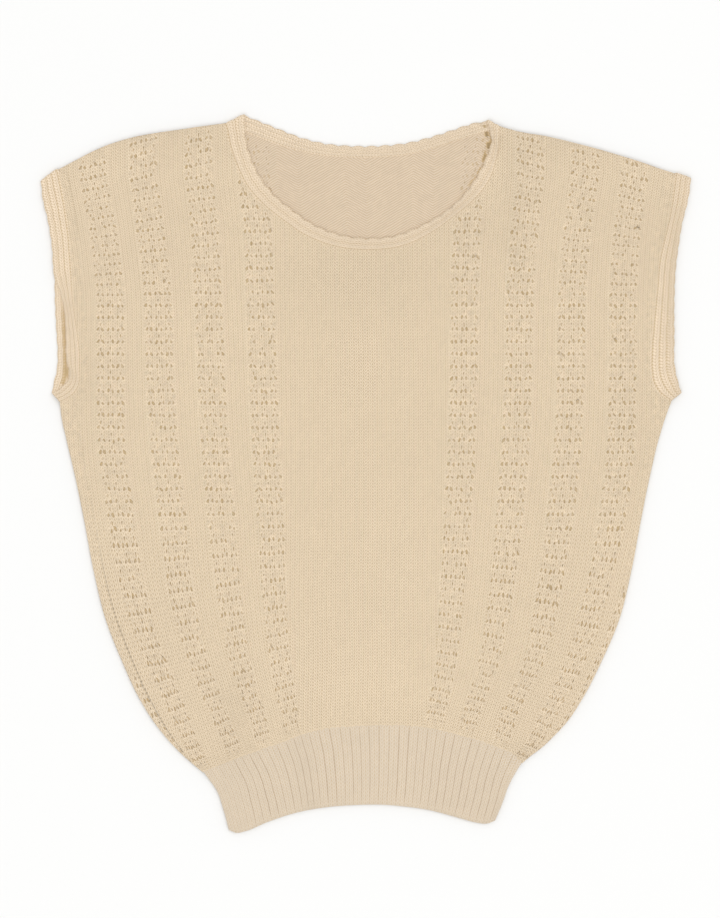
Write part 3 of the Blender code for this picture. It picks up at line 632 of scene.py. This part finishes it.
def back_surface(plan, x, y, columns, courses):
    full = rounding(border_distance(plan, x, y))
    above_welt = y - seam_edge(x)
    relief = motif_relief(columns, courses) * eased(above_welt, 0, RELIEF_START)
    thin = OPENWORK_THIN * (1 - plain_share(columns)) * eased(above_welt, 0, PUFF_CREST)
    folds = creases(BACK_CREASES, x, y) * eased(above_welt, 0, CREASE_START)
    return BACK_LEVEL + thin - relief - folds + BACK_EDGE_RISE * (1 - full)


def inside_surface(plan, x, y, columns, courses):
    return WALL - INSIDE_GAP + INSIDE_RELIEF * motif_relief(columns, courses)


def gap_painted_shadow(x, y):
    """How dark the painted shadow is on a place behind the front's trims, in the gaps beside them."""
    deep = np.zeros_like(x)
    for path, none, full, darkness in GAP_SHADOWS:
        for px, py, reach in points_along(np.array(path), np.linspace(0, 1, GAP_SAMPLES)):
            near = 1 - eased(np.hypot(x - px, y - py) / reach, GAP_CORE, GAP_FADE)
            deep = np.maximum(deep, near * darkness * eased(py, none, full))
    return deep


def near_neck(x, y):
    """Room to the edge of the part of the back's inside that the neck opening shows."""
    return np.minimum(y - NECK_ROOM_LOW, NECK_ROOM_HALF - np.abs(x))


def cut_faces(faces, room):
    """Cuts faces where the room to the outline is nought. Returns them, and pairs to mix for new points."""
    inside = room > 0
    count = inside[faces].sum(axis=1)
    whole = faces[count == 4]
    result = [list(face) for face in whole]
    made, mixes = {}, []
    for face in faces[(count > 0) & (count < 4)]:
        ring = []
        for a, b in zip(face, np.roll(face, -1)):
            if inside[a]:
                ring.append(int(a))
            if inside[a] != inside[b]:
                key = (min(a, b), max(a, b))
                if key not in made:
                    made[key] = len(room) + len(mixes)
                    share = room[key[0]] / (room[key[0]] - room[key[1]])
                    mixes.append((key[0], key[1], share))
                ring.append(made[key])
        if len(ring) > 2:
            result.append(ring)
    return result, mixes


def soft_tone(table, x, y):
    """Share by which the cotton is lighter or darker in the soft patches of a table."""
    tone = np.zeros_like(x)
    for across, height, half_width, half_height, share in table:
        tone += share * np.exp(-((x - across) / half_width) ** 2 - ((y - height) / half_height) ** 2)
    return tone


def add_object(name, data):
    obj = bpy.data.objects.new(name, data)
    bpy.context.scene.collection.objects.link(obj)
    return obj


def knit_object(name, vertices, faces, knit, material, turned=False):
    """A piece in the frame's metres, with each point's wale, course, depth of painted shade (below nought a
    painted highlight) and tone kept for the material.
    """
    used = np.zeros(len(vertices), bool)
    flat = np.concatenate([np.asarray(face) for face in faces])
    used[flat] = True
    number = np.cumsum(used) - 1
    faces = [[int(number[v]) for v in (face[::-1] if turned else face)] for face in faces]
    mesh = bpy.data.meshes.new(name)
    mesh.from_pydata(((vertices[used] - MIDDLE) * MM).tolist(), [], faces)
    x, y, z = vertices[used].T
    # On the front the soft patches are painted light and shade
    tone = np.where(z > FRONT_BASE, soft_tone(FRONT_PAINTED_SHADING, x, y), soft_tone(BACK_TONES, x, y))
    for title, kind, field, values in (
        ("knit", "FLOAT_VECTOR", "vector", knit[used]), ("tone", "FLOAT", "value", tone),
    ):
        attribute = mesh.attributes.new(title, kind, "POINT")
        attribute.data.foreach_set(field, values.astype(np.float32).ravel())
    mesh.shade_smooth()
    mesh.materials.append(material)
    pieces[name] = add_object(name, mesh)


def shell_piece(shell, name, pick, material, depth, turned=False):
    """One piece of the shell's cells whose column passes pick. Its eyelets are pits with a floor."""
    columns, rows = shell.c.shape
    index = np.arange(columns * rows).reshape(columns, rows)
    i, j = np.nonzero(shell.keep & pick[:, None])
    faces = np.column_stack([index[i, j], index[i + 1, j], index[i + 1, j + 1], index[i, j + 1]])
    room = shell.room.ravel()
    faces, mixes = cut_faces(faces, room)
    flat = np.column_stack([shell.x.ravel(), shell.y.ravel(), shell.c.ravel(), shell.r.ravel()])
    if mixes:
        mixes = np.array(mixes)
        a, b, share = mixes[:, 0].astype(int), mixes[:, 1].astype(int), mixes[:, 2][:, None]
        flat = np.vstack([flat, flat[a] * (1 - share) + flat[b] * share])
    x, y, c, r = flat.T
    z = shell.lift(shell.plan, x, y, c, r)
    points = np.column_stack([x, y, z])
    if shell.also_room:
        # The back's inside takes the painted shadow of the gaps beside the front's trims
        knit = np.column_stack([wale_number(c), r, gap_painted_shadow(x, y)])
    else:
        knit = np.column_stack([wales_at(shell.plan, c, x, y, "openwork" in name), r, np.zeros(len(x))])
    walls, low_points, low_knit = [], [], []
    for i, j, darkness in shell.holes:
        if not pick[i] or room[index[i:i + 3, j:j + 3]].min() <= 0:
            continue
        ring = [index[i + a, j + b] for a, b in EYELET_RING]
        middle = points[ring].mean(axis=0)
        points[ring, 2] += RIM_RISE * depth
        # Painted highlight on the yarn round the eyelet
        knit[ring, 2] = -EYELET_RIM_HIGHLIGHT * abs(depth) / EYELET_DEPTH
        base = len(points) + len(low_points)
        for v in ring:
            low = middle + (points[v] - middle) * EYELET_TAPER
            low_points.append((low[0], low[1], middle[2] - depth))
            # The eyelet's low ring takes a painted shade, added to the pit's real shade
            low_knit.append((knit[v, 0], knit[v, 1], darkness * abs(depth) / EYELET_DEPTH))
        sides = range(len(ring))
        for k in sides:
            m = (k + 1) % len(ring)
            walls.append([ring[k], ring[m], base + m, base + k])
        walls.append([base + k for k in sides])
    points = np.vstack([points] + ([low_points] if low_points else []))
    knit = np.vstack([knit] + ([low_knit] if low_knit else []))
    knit_object(name, points, faces + walls, knit, material, turned)


class Nodes:
    """A new material, and short ways to build its nodes."""

    def __init__(self, name):
        self.material = bpy.data.materials.new(name)
        self.material.use_nodes = True
        self.tree = self.material.node_tree
        self.shader = self.tree.nodes["Principled BSDF"]

    def fill(self, node, inputs):
        """Gives inputs of a node their values or links."""
        for key, value in inputs.items():
            if isinstance(value, bpy.types.NodeSocket):
                self.tree.links.new(value, node.inputs[key])
            else:
                node.inputs[key].default_value = value
        return node

    def node(self, kind, inputs, **settings):
        node = self.tree.nodes.new(kind)
        for key, value in settings.items():
            setattr(node, key, value)
        return self.fill(node, inputs)

    def math(self, operation, a, b=0.0):
        return self.node("ShaderNodeMath", {0: a, 1: b}, operation=operation).outputs[0]

    def plus(self, a, b):
        return self.math("ADD", a, b)

    def minus(self, a, b):
        return self.math("SUBTRACT", a, b)

    def times(self, a, b):
        return self.math("MULTIPLY", a, b)

    def sine(self, place, turns):
        """Size of the sine, which is nought twice in each turn."""
        return self.math("ABSOLUTE", self.math("SINE", self.times(place, turns * 2 * math.pi)))

    def wander(self, vector, scale, strength):
        return self.times(self.minus(self.noise(vector, scale), 0.5), strength)

    def noise(self, vector, scale, detail=2.0):
        inputs = {"Vector": vector, "Scale": scale, "Detail": detail}
        return self.node("ShaderNodeTexNoise", inputs).outputs["Fac"]


def stockinette(n, wale, course):
    """Height of knit stitches, two slanted legs to each wale, and a number for each leg."""
    inside = n.math("FRACT", wale)
    spread = n.math("ABSOLUTE", n.minus(inside, 0.5))
    slanted = n.minus(course, n.times(spread, STITCH_SLANT))
    phase = n.math("FRACT", slanted)
    strand = n.times(n.times(phase, n.minus(1.0, phase)), 4.0)
    body = n.plus(n.times(strand, STRAND_SHARE), n.times(n.sine(wale, 1), LEG_SHARE))
    height = n.plus(body, n.times(n.sine(wale, 0.5), WALE_SHARE))
    return height, (n.math("FLOOR", n.times(wale, 2.0)), n.math("FLOOR", slanted))


def purl(n, wale, course):
    """Height of the knit's inside, slanting rows of half rings, and a number for each ring."""
    inside = n.math("FRACT", n.math("DIVIDE", wale, PURL_WALES))
    spread = n.math("ABSOLUTE", n.minus(inside, PURL_TURN))
    lifted = n.plus(n.times(course, PURL_COURSES), n.times(spread, PURL_SLANT))
    height = n.plus(n.times(n.sine(lifted, 0.5), PURL_DEPTH), PURL_LIFT)
    return height, (n.math("FLOOR", wale), n.math("FLOOR", lifted))


def knit_material(name, stitch, bump, face=CREAM, mottle=0.0):
    n = Nodes("cream_cotton_" + name)
    place = n.node("ShaderNodeAttribute", {}, attribute_name="knit")
    split = n.node("ShaderNodeSeparateXYZ", {0: place.outputs["Vector"]})
    # The knit's third value is a depth of painted shade, below nought a painted highlight
    depth = split.outputs["Z"]
    where = n.node("ShaderNodeTexCoord", {}).outputs["Object"]
    wale = n.plus(split.outputs["X"], n.wander(where, *WALE_WANDER))
    course = n.plus(split.outputs["Y"], n.wander(where, *COURSE_WANDER))
    height, stitch_number = stitch(n, wale, course)
    height = n.plus(height, n.times(n.noise(where, FIBRES, detail=3.0), FIBRE_HEIGHT))
    relief = n.node("ShaderNodeBump", {"Strength": 1.0, "Distance": bump * MM, "Height": height})
    # Painted shade: low places of the stitches, and places with a painted depth, take the shaded cream
    level = n.minus(height, n.times(depth, DEPTH_DARK))
    shade = n.node("ShaderNodeMapRange", {"Value": level, "From Min": VALLEY, "From Max": CREST})
    colours = {"Factor": shade.outputs["Result"], 6: CREAM_SHADED, 7: face}
    mix = n.node("ShaderNodeMix", colours, data_type="RGBA")
    slow, quick = [n.times(n.noise(where, waves), TONE_WAVE) for waves in TONE_WAVES]
    tone = n.plus(n.plus(slow, quick), TONE_BASE - STITCH_TONE / 2)
    number = n.node("ShaderNodeCombineXYZ", {"X": stitch_number[0], "Y": stitch_number[1]})
    each = n.node("ShaderNodeTexWhiteNoise", {"Vector": number.outputs[0]})
    tone = n.plus(tone, n.times(each.outputs["Value"], STITCH_TONE))
    # Soft patches of tone, on the front painted light and shade
    patches = n.node("ShaderNodeAttribute", {}, attribute_name="tone")
    tone = n.plus(tone, patches.outputs["Fac"])
    # Painted shadow of the gaps: darker still past a depth of 1
    very_deep = n.math("MAXIMUM", n.minus(depth, 1.0))
    tone = n.minus(tone, n.times(very_deep, VERY_DEEP_DARK))
    # Painted highlight on the yarn round the eyelets, where the depth is below nought
    tone = n.plus(tone, n.math("MAXIMUM", n.times(depth, -RIM_HIGHLIGHT)))
    if mottle:
        tone = n.plus(tone, n.wander(where, MOTTLE_SCALE, mottle))
    tint = n.node("ShaderNodeHueSaturation", {"Color": mix.outputs[2], "Value": tone})
    n.fill(n.shader, {**COTTON, "Base Color": tint.outputs["Color"], "Normal": relief.outputs["Normal"]})
    return n.material


def welt_points(grooves, steps):
    """Points of a welt: a patch between its seam, the hem and its two sides."""
    numbers, at_seam, at_hem = np.array(RIB_FAN, float).T
    hem, seam = smooth_line(HEM), smooth_line(WELT_SEAM)
    seam = seam + (0, WELT_OVERLAP)
    left, right = smooth_line(WELT_LEFT), smooth_line(WELT_RIGHT)
    left[:, 1] += np.linspace(WELT_OVERLAP, 0, len(left))
    right[:, 1] += np.linspace(WELT_OVERLAP, 0, len(right))
    left_side, right_side = points_along(left, steps), points_along(right, steps)
    u = ((grooves - grooves[0]) / (grooves[-1] - grooves[0]))[:, None, None]
    v = np.asarray(steps)[None, :, None]
    x_top = curve_value(grooves, list(zip(numbers, at_seam)))
    x_hem = curve_value(grooves, list(zip(numbers, at_hem)))
    top = np.column_stack([x_top, np.interp(x_top, seam[:, 0], seam[:, 1])])[:, None]
    low = np.column_stack([x_hem, np.interp(x_hem, hem[:, 0], hem[:, 1])])[:, None]
    sides = (1 - u) * left_side[None] + u * right_side[None]
    ends = (1 - u) * ((1 - v) * left_side[0] + v * left_side[-1])
    ends = ends + u * ((1 - v) * right_side[0] + v * right_side[-1])
    return (1 - v) * top + v * low + sides - ends


def make_welt(name, is_front):
    first, last = RIB_FAN[0][0], RIB_FAN[-1][0]
    grooves = np.array([number + place for number in range(first, last) for place in RIB_COLUMNS] + [last])
    steps = np.concatenate([SEAM_STEPS, np.linspace(0.05, 0.95, WELT_ROWS), HEM_STEPS])
    points = welt_points(grooves, steps)
    across = np.abs((grooves + 0.5) % 1 - 0.5)
    rib = 1 - rounding(across, RIB_GROOVE)
    middle = RIB_MIDDLE * eased(across, 0.40, 0.50)
    along = rounding(1 - steps, HEM_ROUND)
    number = np.round(grooves).astype(int) - first
    count = last - first + 2
    share, length = rng.uniform(*GROOVE_SHARES, count), rng.uniform(*GROOVE_STARTS, count)
    share = np.where(grooves < FAINT_RIBS[0], FAINT_RIBS[1], 1.0) * share[number]
    starts = eased(steps[None, :], 0.0, length[number][:, None])
    edge = np.minimum(grooves - grooves[0], grooves[-1] - grooves)
    below_seam = eased(steps, 0, SEAM_BLEND)[None, :]
    top_x, top_y = points[:, 0, 0], points[:, 0, 1]
    at_seam = rounding(border_distance(front_plan if is_front else back_plan, top_x, top_y))[:, None]
    side = at_seam * (1 - below_seam) + rounding(edge, SIDE_ROUND)[:, None] * below_seam
    ends = 1 - GROOVE_LOSS * eased(steps, LOSS_START, LOSS_FULL)
    drop = (RIB_RISE * rib * share + middle)[:, None] * starts * ends[None, :]
    if is_front:
        z = FRONT_LEVEL + (WALL - WELT_SINK + RIB_SWELL * starts - drop) * along[None, :] * side
    else:
        z = BACK_WELT_TOP - (BACK_WELT_WALL + RIB_SWELL * starts - drop) * along[None, :] * side
    columns, rows = z.shape
    index = np.arange(columns * rows).reshape(columns, rows)
    a, b, c, d = index[:-1, :-1], index[:-1, 1:], index[1:, 1:], index[1:, :-1]
    faces = np.stack([a, b, c, d], axis=-1).reshape(-1, 4).tolist()
    places = np.broadcast_arrays(2 * grooves[:, None], -WELT_LENGTH / COURSE * steps[None, :], 0.0)
    knit = np.stack(places, axis=-1).reshape(-1, 3)
    vertices = np.concatenate([points, z[..., None]], axis=-1).reshape(-1, 3)
    knit_object(name, vertices, faces, knit, rib_knit, turned=not is_front)


def ribbon(name, sections, knit, is_ring):
    """One body through its sections. A ring's last section lies on its first, and other ends are capped."""
    count = len(sections[0])
    vertices, knit = np.concatenate(sections), np.concatenate(knit)
    faces = []
    for s in range(len(sections) - 1):
        here, there = s * count, (s + 1) * count
        for p in range(count):
            q = (p + 1) % count
            faces.append([here + p, here + q, there + q, there + p])
    if not is_ring:
        last = (len(sections) - 1) * count
        faces.append(list(range(count))[::-1])
        faces.append(list(range(last, last + count)))
    volume = 0.0
    for face in faces[:(len(sections) - 1) * count]:
        a, b, c, d = vertices[face[:4]]
        volume += np.dot(a, np.cross(b, c)) + np.dot(a, np.cross(c, d))
    knit_object(name, vertices, faces, knit, trim_knit, turned=volume < 0)


# Section of a trim, seam to free edge: share of the width, thickness in front, thickness behind
NECK_SECTION = (
    (-0.12, 1.65, 1.2), (-0.07, 1.82, 1.5), (0, 2, 1.7), (0.09, 2.5, 1.8), (0.2, 2.62, 1.8),
    (0.31, 2.4, 1.8), (0.39, 1.95, 1.7), (0.45, 1.8, 1.6), (0.5, 1.88, 1.7), (0.58, 2.05, 1.8),
    (0.7, 2.1, 1.8), (0.82, 1.95, 1.8), (0.92, 1.6, 1.5), (0.98, 1, 1.1), (1, 0.5, 0.5),
)
ARM_SECTION = (
    (-0.12, 1.65, 1.2), (-0.07, 1.86, 1.5), (0, 2.05, 1.7), (0.09, 2.35, 1.8), (0.2, 2.35, 1.8),
    (0.29, 2.1, 1.8), (0.34, 1.92, 1.65), (0.39, 1.98, 1.7), (0.47, 2.2, 1.8), (0.57, 2.2, 1.8),
    (0.65, 2, 1.75), (0.69, 1.82, 1.6), (0.75, 1.88, 1.7), (0.85, 1.85, 1.7), (0.94, 1.5, 1.4),
    (0.98, 1, 1), (1, 0.5, 0.5),
)

# Both trims' inner side, free edge to seam: share of the width, and how far it stands up behind
INNER_SIDE = (
    (0.985, -0.4), (0.93, 0.1), (0.85, 0.35), (0.7, 0.45), (0.52, 0.2), (0.36, 0.1), (0.26, 0.45),
    (0.14, 0.85), (0.02, 0.85), (-0.06, 0.35), (-0.1, -0.1),
)
INNER_FLAT = 0.12


def trim_ring(seam, edge, normal, blend, table):
    across = edge - seam
    face = [seam + s * across + normal * ((1 - blend) * front + blend * back) for s, front, back in table]
    under = [seam + s * across + normal * (INNER_FLAT * (1 - blend) - blend * rise) for s, rise in INNER_SIDE]
    return np.array(face + under)


def layer(seam_line, edge_line, is_front, table, scallop_depth):
    length = lengths_along(edge_line)[-1]
    scallops = round(length / SCALLOP)
    shares = np.linspace(0, 1, int(length / TRIM_STEP))
    seams, edges = points_along(seam_line, shares), points_along(edge_line, shares)
    level = FRONT_LEVEL if is_front else WALL
    normal = np.array([0.0, 0.0, 1.0 if is_front else -1.0])
    rings, blend = [], 0 if is_front else 1
    for share, seam, edge in zip(shares, seams, edges):
        inward = (seam - edge) / np.linalg.norm(seam - edge)
        dip = abs(math.cos(math.pi * share * scallops))
        edge = edge + inward * scallop_depth * (1 - dip)
        rings.append(trim_ring(np.append(seam, level), np.append(edge, level), normal, blend, table))
    return rings


def fold(seam, edge, from_front, table):
    along = (edge - seam) / np.linalg.norm(edge - seam)
    away = np.array([-along[1], along[0], 0.0])
    away *= math.copysign(1.0, away[1])
    up = np.array([0.0, 0.0, 1.0])
    middle, radius = (FRONT_BASE + WALL) / 2, SEAM_GAP / 2
    rings = []
    for step in range(1, FOLD_STEPS):
        share = step / FOLD_STEPS
        turn = math.pi * (share if from_front else 1 - share)
        normal = math.cos(turn) * up + math.sin(turn) * away
        centre = middle * up + radius * normal
        ends = np.append(seam, 0) + centre, np.append(edge, 0) + centre
        rings.append(trim_ring(*ends, normal, turn / math.pi, table))
    return rings


def knit_of(rings, table, grooves):
    """Wale, course and painted shade of a trim's points: courses run across it and wales along it."""
    along = lengths_along(np.array([ring[RIDGE_POINT] for ring in rings]))
    courses = along / along[-1] * round(along[-1] / COURSE)
    shares = np.array([row[0] for row in table + INNER_SIDE])
    near = np.min([np.abs(shares - groove) for groove in grooves], axis=0)
    # Painted shade along the grooves, besides their own relief
    furrow_shade = GROOVE_SHADE * (1 - eased(near, 0, GROOVE_REACH)) * (np.arange(len(shares)) < len(table))
    result = []
    for ring, course in zip(rings, courses):
        # Painted shade of the grooves, and painted shadow of the gaps on the layer behind
        deep = furrow_shade + gap_painted_shadow(ring[:, 0], ring[:, 1]) * (ring[:, 2] < FRONT_BASE)
        result.append(np.column_stack([TRIM_WALES * shares, np.full(len(shares), course), deep]))
    return result


def make_neck_trim():
    left = np.array(FRONT_NECKLINE[0]) + (NECK_CORNER_GAP, -NECK_CORNER_DROP)
    right = np.array(FRONT_NECKLINE[-1]) + (-NECK_CORNER_GAP, -NECK_CORNER_DROP)
    front_seam, back_seam = [
        np.vstack([left, moved_out(smooth_line(line), SEAM_GAP)[8:-8], right])
        for line in (FRONT_NECKLINE, BACK_NECKLINE)]
    back_seam = back_seam[::-1]
    front_edge, back_edge = smooth_line(FRONT_NECK_EDGE), smooth_line(BACK_NECK_EDGE)[::-1]
    rings = layer(front_seam, front_edge, True, NECK_SECTION, SCALLOP_DEPTH)
    rings += fold(right, front_edge[-1], True, NECK_SECTION)
    behind = layer(back_seam, back_edge, False, NECK_SECTION, SCALLOP_DEPTH)
    middle = len(behind) // 2
    rings = behind[middle:] + fold(left, front_edge[0], False, NECK_SECTION) + rings + behind[:middle + 1]
    ribbon("neck_trim_edging", rings, knit_of(rings, NECK_SECTION, NECK_GROOVES), True)


def make_armhole_trim(name, which, *edges):
    lines, gap = [], SEAM_GAP if which == 0 else -SEAM_GAP
    for plan in (front_plan, back_plan):
        armhole = plan.sides[which][1]
        heights = np.linspace(armhole[0][1], armhole[-1][1], 300)
        seam = moved_out(panel_line(plan, which, heights), gap)
        seam[-1, 1] -= TIP_DROP
        lines.append(seam)
    lines[1][-1] = lines[0][-1]
    front_edge, back_edge = map(smooth_line, edges)
    rings = layer(lines[0], front_edge, True, ARM_SECTION, ARM_SCALLOP_DEPTH)
    rings += fold(lines[0][-1], front_edge[-1], True, ARM_SECTION)
    rings += layer(lines[1][::-1], back_edge[::-1], False, ARM_SECTION, ARM_SCALLOP_DEPTH)
    ribbon(name, rings, knit_of(rings, ARM_SECTION, ARM_GROOVES), False)


front_plan = Plan(LEFT_ARMHOLE_FRONT, FRONT_NECKLINE, 0.0)
back_plan = Plan(LEFT_ARMHOLE_BACK, BACK_NECKLINE, BACK_SHIFT)
face_knit = knit_material("stockinette", stockinette, bump=0.70)
open_knit = knit_material("openwork", stockinette, bump=0.70, mottle=OPENWORK_MOTTLE)
inside_knit = knit_material("purl_side", purl, bump=0.55, face=CREAM_INSIDE_SHADED)
rib_knit = knit_material("rib", stockinette, bump=0.30, face=CREAM_RIB_SHADED)
trim_knit = knit_material("trim", stockinette, bump=0.60, face=CREAM_TRIM_LIT)

for node, plan, lift, depth, first_course in (
    ("front_panel", front_plan, front_surface, EYELET_DEPTH, 0.0),
    ("back_panel", back_plan, back_surface, -EYELET_DEPTH, BACK_COURSES),
):
    shell = Shell(plan, lift, first_course)
    openwork = np.zeros(len(shell.columns) - 1, bool)
    for start, _ in shell.motifs:
        openwork[start:start + len(MOTIF_U)] = True
    on_left = shell.columns[:-1] < MIDDLE_COLUMN
    for part, pick, knit in (
        ("openwork_left", openwork & on_left, open_knit), ("openwork_right", openwork & ~on_left, open_knit),
        ("plain", ~openwork, face_knit),
    ):
        shell_piece(shell, f"{node}_{part}", pick, knit, depth, node == "back_panel")
shell = Shell(back_plan, inside_surface, BACK_COURSES, near_neck)
every_column = np.ones(len(shell.columns) - 1, bool)
shell_piece(shell, "back_panel_inside", every_column, inside_knit, EYELET_DEPTH / 2)
make_welt("front_welt_ribs", True)
make_welt("back_welt_ribs", False)
make_neck_trim()
make_armhole_trim("armhole_trim_left_edging", 0, LEFT_TRIM_FRONT, LEFT_TRIM_BACK)
make_armhole_trim("armhole_trim_right_edging", 1, RIGHT_TRIM, RIGHT_TRIM)

# Floor
floor_mesh = bpy.data.meshes.new("floor")
corners = [(x * FLOOR_REACH, y * FLOOR_REACH, 0) for x, y in ((-1, -1), (1, -1), (1, 1), (-1, 1))]
floor_mesh.from_pydata(corners, [], [(0, 1, 2, 3)])
floor = add_object("floor", floor_mesh)
floor.location.z = -FLOOR_DROP
paper = Nodes("floor_paper")
paper.fill(paper.shader, {"Base Color": FLOOR, "Roughness": FLOOR_ROUGHNESS})
floor_mesh.materials.append(paper.material)

# Node, its piece's part, material slot, what it lies on, width and length of its cut, area of its cloth
DECLARED = (
    ("front_panel", "plain", "cotton_front", "back_panel", (0.495, 0.519), 0.109),
    ("front_panel", "openwork_left", "cotton_front", "back_panel", (0.225, 0.518), 0.048),
    ("front_panel", "openwork_right", "cotton_front", "back_panel", (0.225, 0.518), 0.048),
    ("back_panel", "plain", "cotton_back", "floor", (0.495, 0.519), 0.119),
    ("back_panel", "openwork_left", "cotton_back", "floor", (0.225, 0.518), 0.050),
    ("back_panel", "openwork_right", "cotton_back", "floor", (0.225, 0.518), 0.050),
    ("back_panel", "inside", "cotton_back", "back_panel_plain", (0.25, 0.131), 0.0287),
    ("front_welt", "ribs", "cotton_welt", "back_welt_ribs", (0.255, 0.064), 0.0155),
    ("back_welt", "ribs", "cotton_welt", "floor", (0.255, 0.064), 0.0155),
    ("neck_trim", "edging", "cotton_trim", "back_panel_inside", (0.54, 0.012), 0.0064),
    ("armhole_trim_left", "edging", "cotton_trim", "floor", (0.36, 0.016), 0.0056),
    ("armhole_trim_right", "edging", "cotton_trim", "floor", (0.36, 0.017), 0.0061),
)
for node, part, slot, below, flat, area in DECLARED:
    piece = pieces[f"{node}_{part}"]
    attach(piece, "root")
    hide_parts(node)

# Light and camera

world = bpy.data.worlds.new("studio")
world.use_nodes = True
background = world.node_tree.nodes["Background"]
background.inputs["Color"].default_value = (1, 1, 1, 1)
background.inputs["Strength"].default_value = WORLD_STRENGTH
bpy.context.scene.world = world

for name, place, watts in LIGHTS:
    data = bpy.data.lights.new(name, "AREA")
    data.size = LIGHT_SIZE
    data.energy = watts
    light = add_object(name, data)
    light.location = place
    aim = -light.location.normalized()
    light.rotation_euler = aim.to_track_quat("-Z", "Y").to_euler()

camera_data = bpy.data.cameras.new("camera")
camera_data.sensor_width = SENSOR
camera_data.lens = CAMERA_HEIGHT * SENSOR / VISIBLE_HEIGHT
camera = add_object("camera", camera_data)
camera.location = (CAMERA_AIM[0], CAMERA_AIM[1], CAMERA_HEIGHT)
bpy.context.scene.camera = camera
bpy.context.scene.view_settings.view_transform = "Standard"
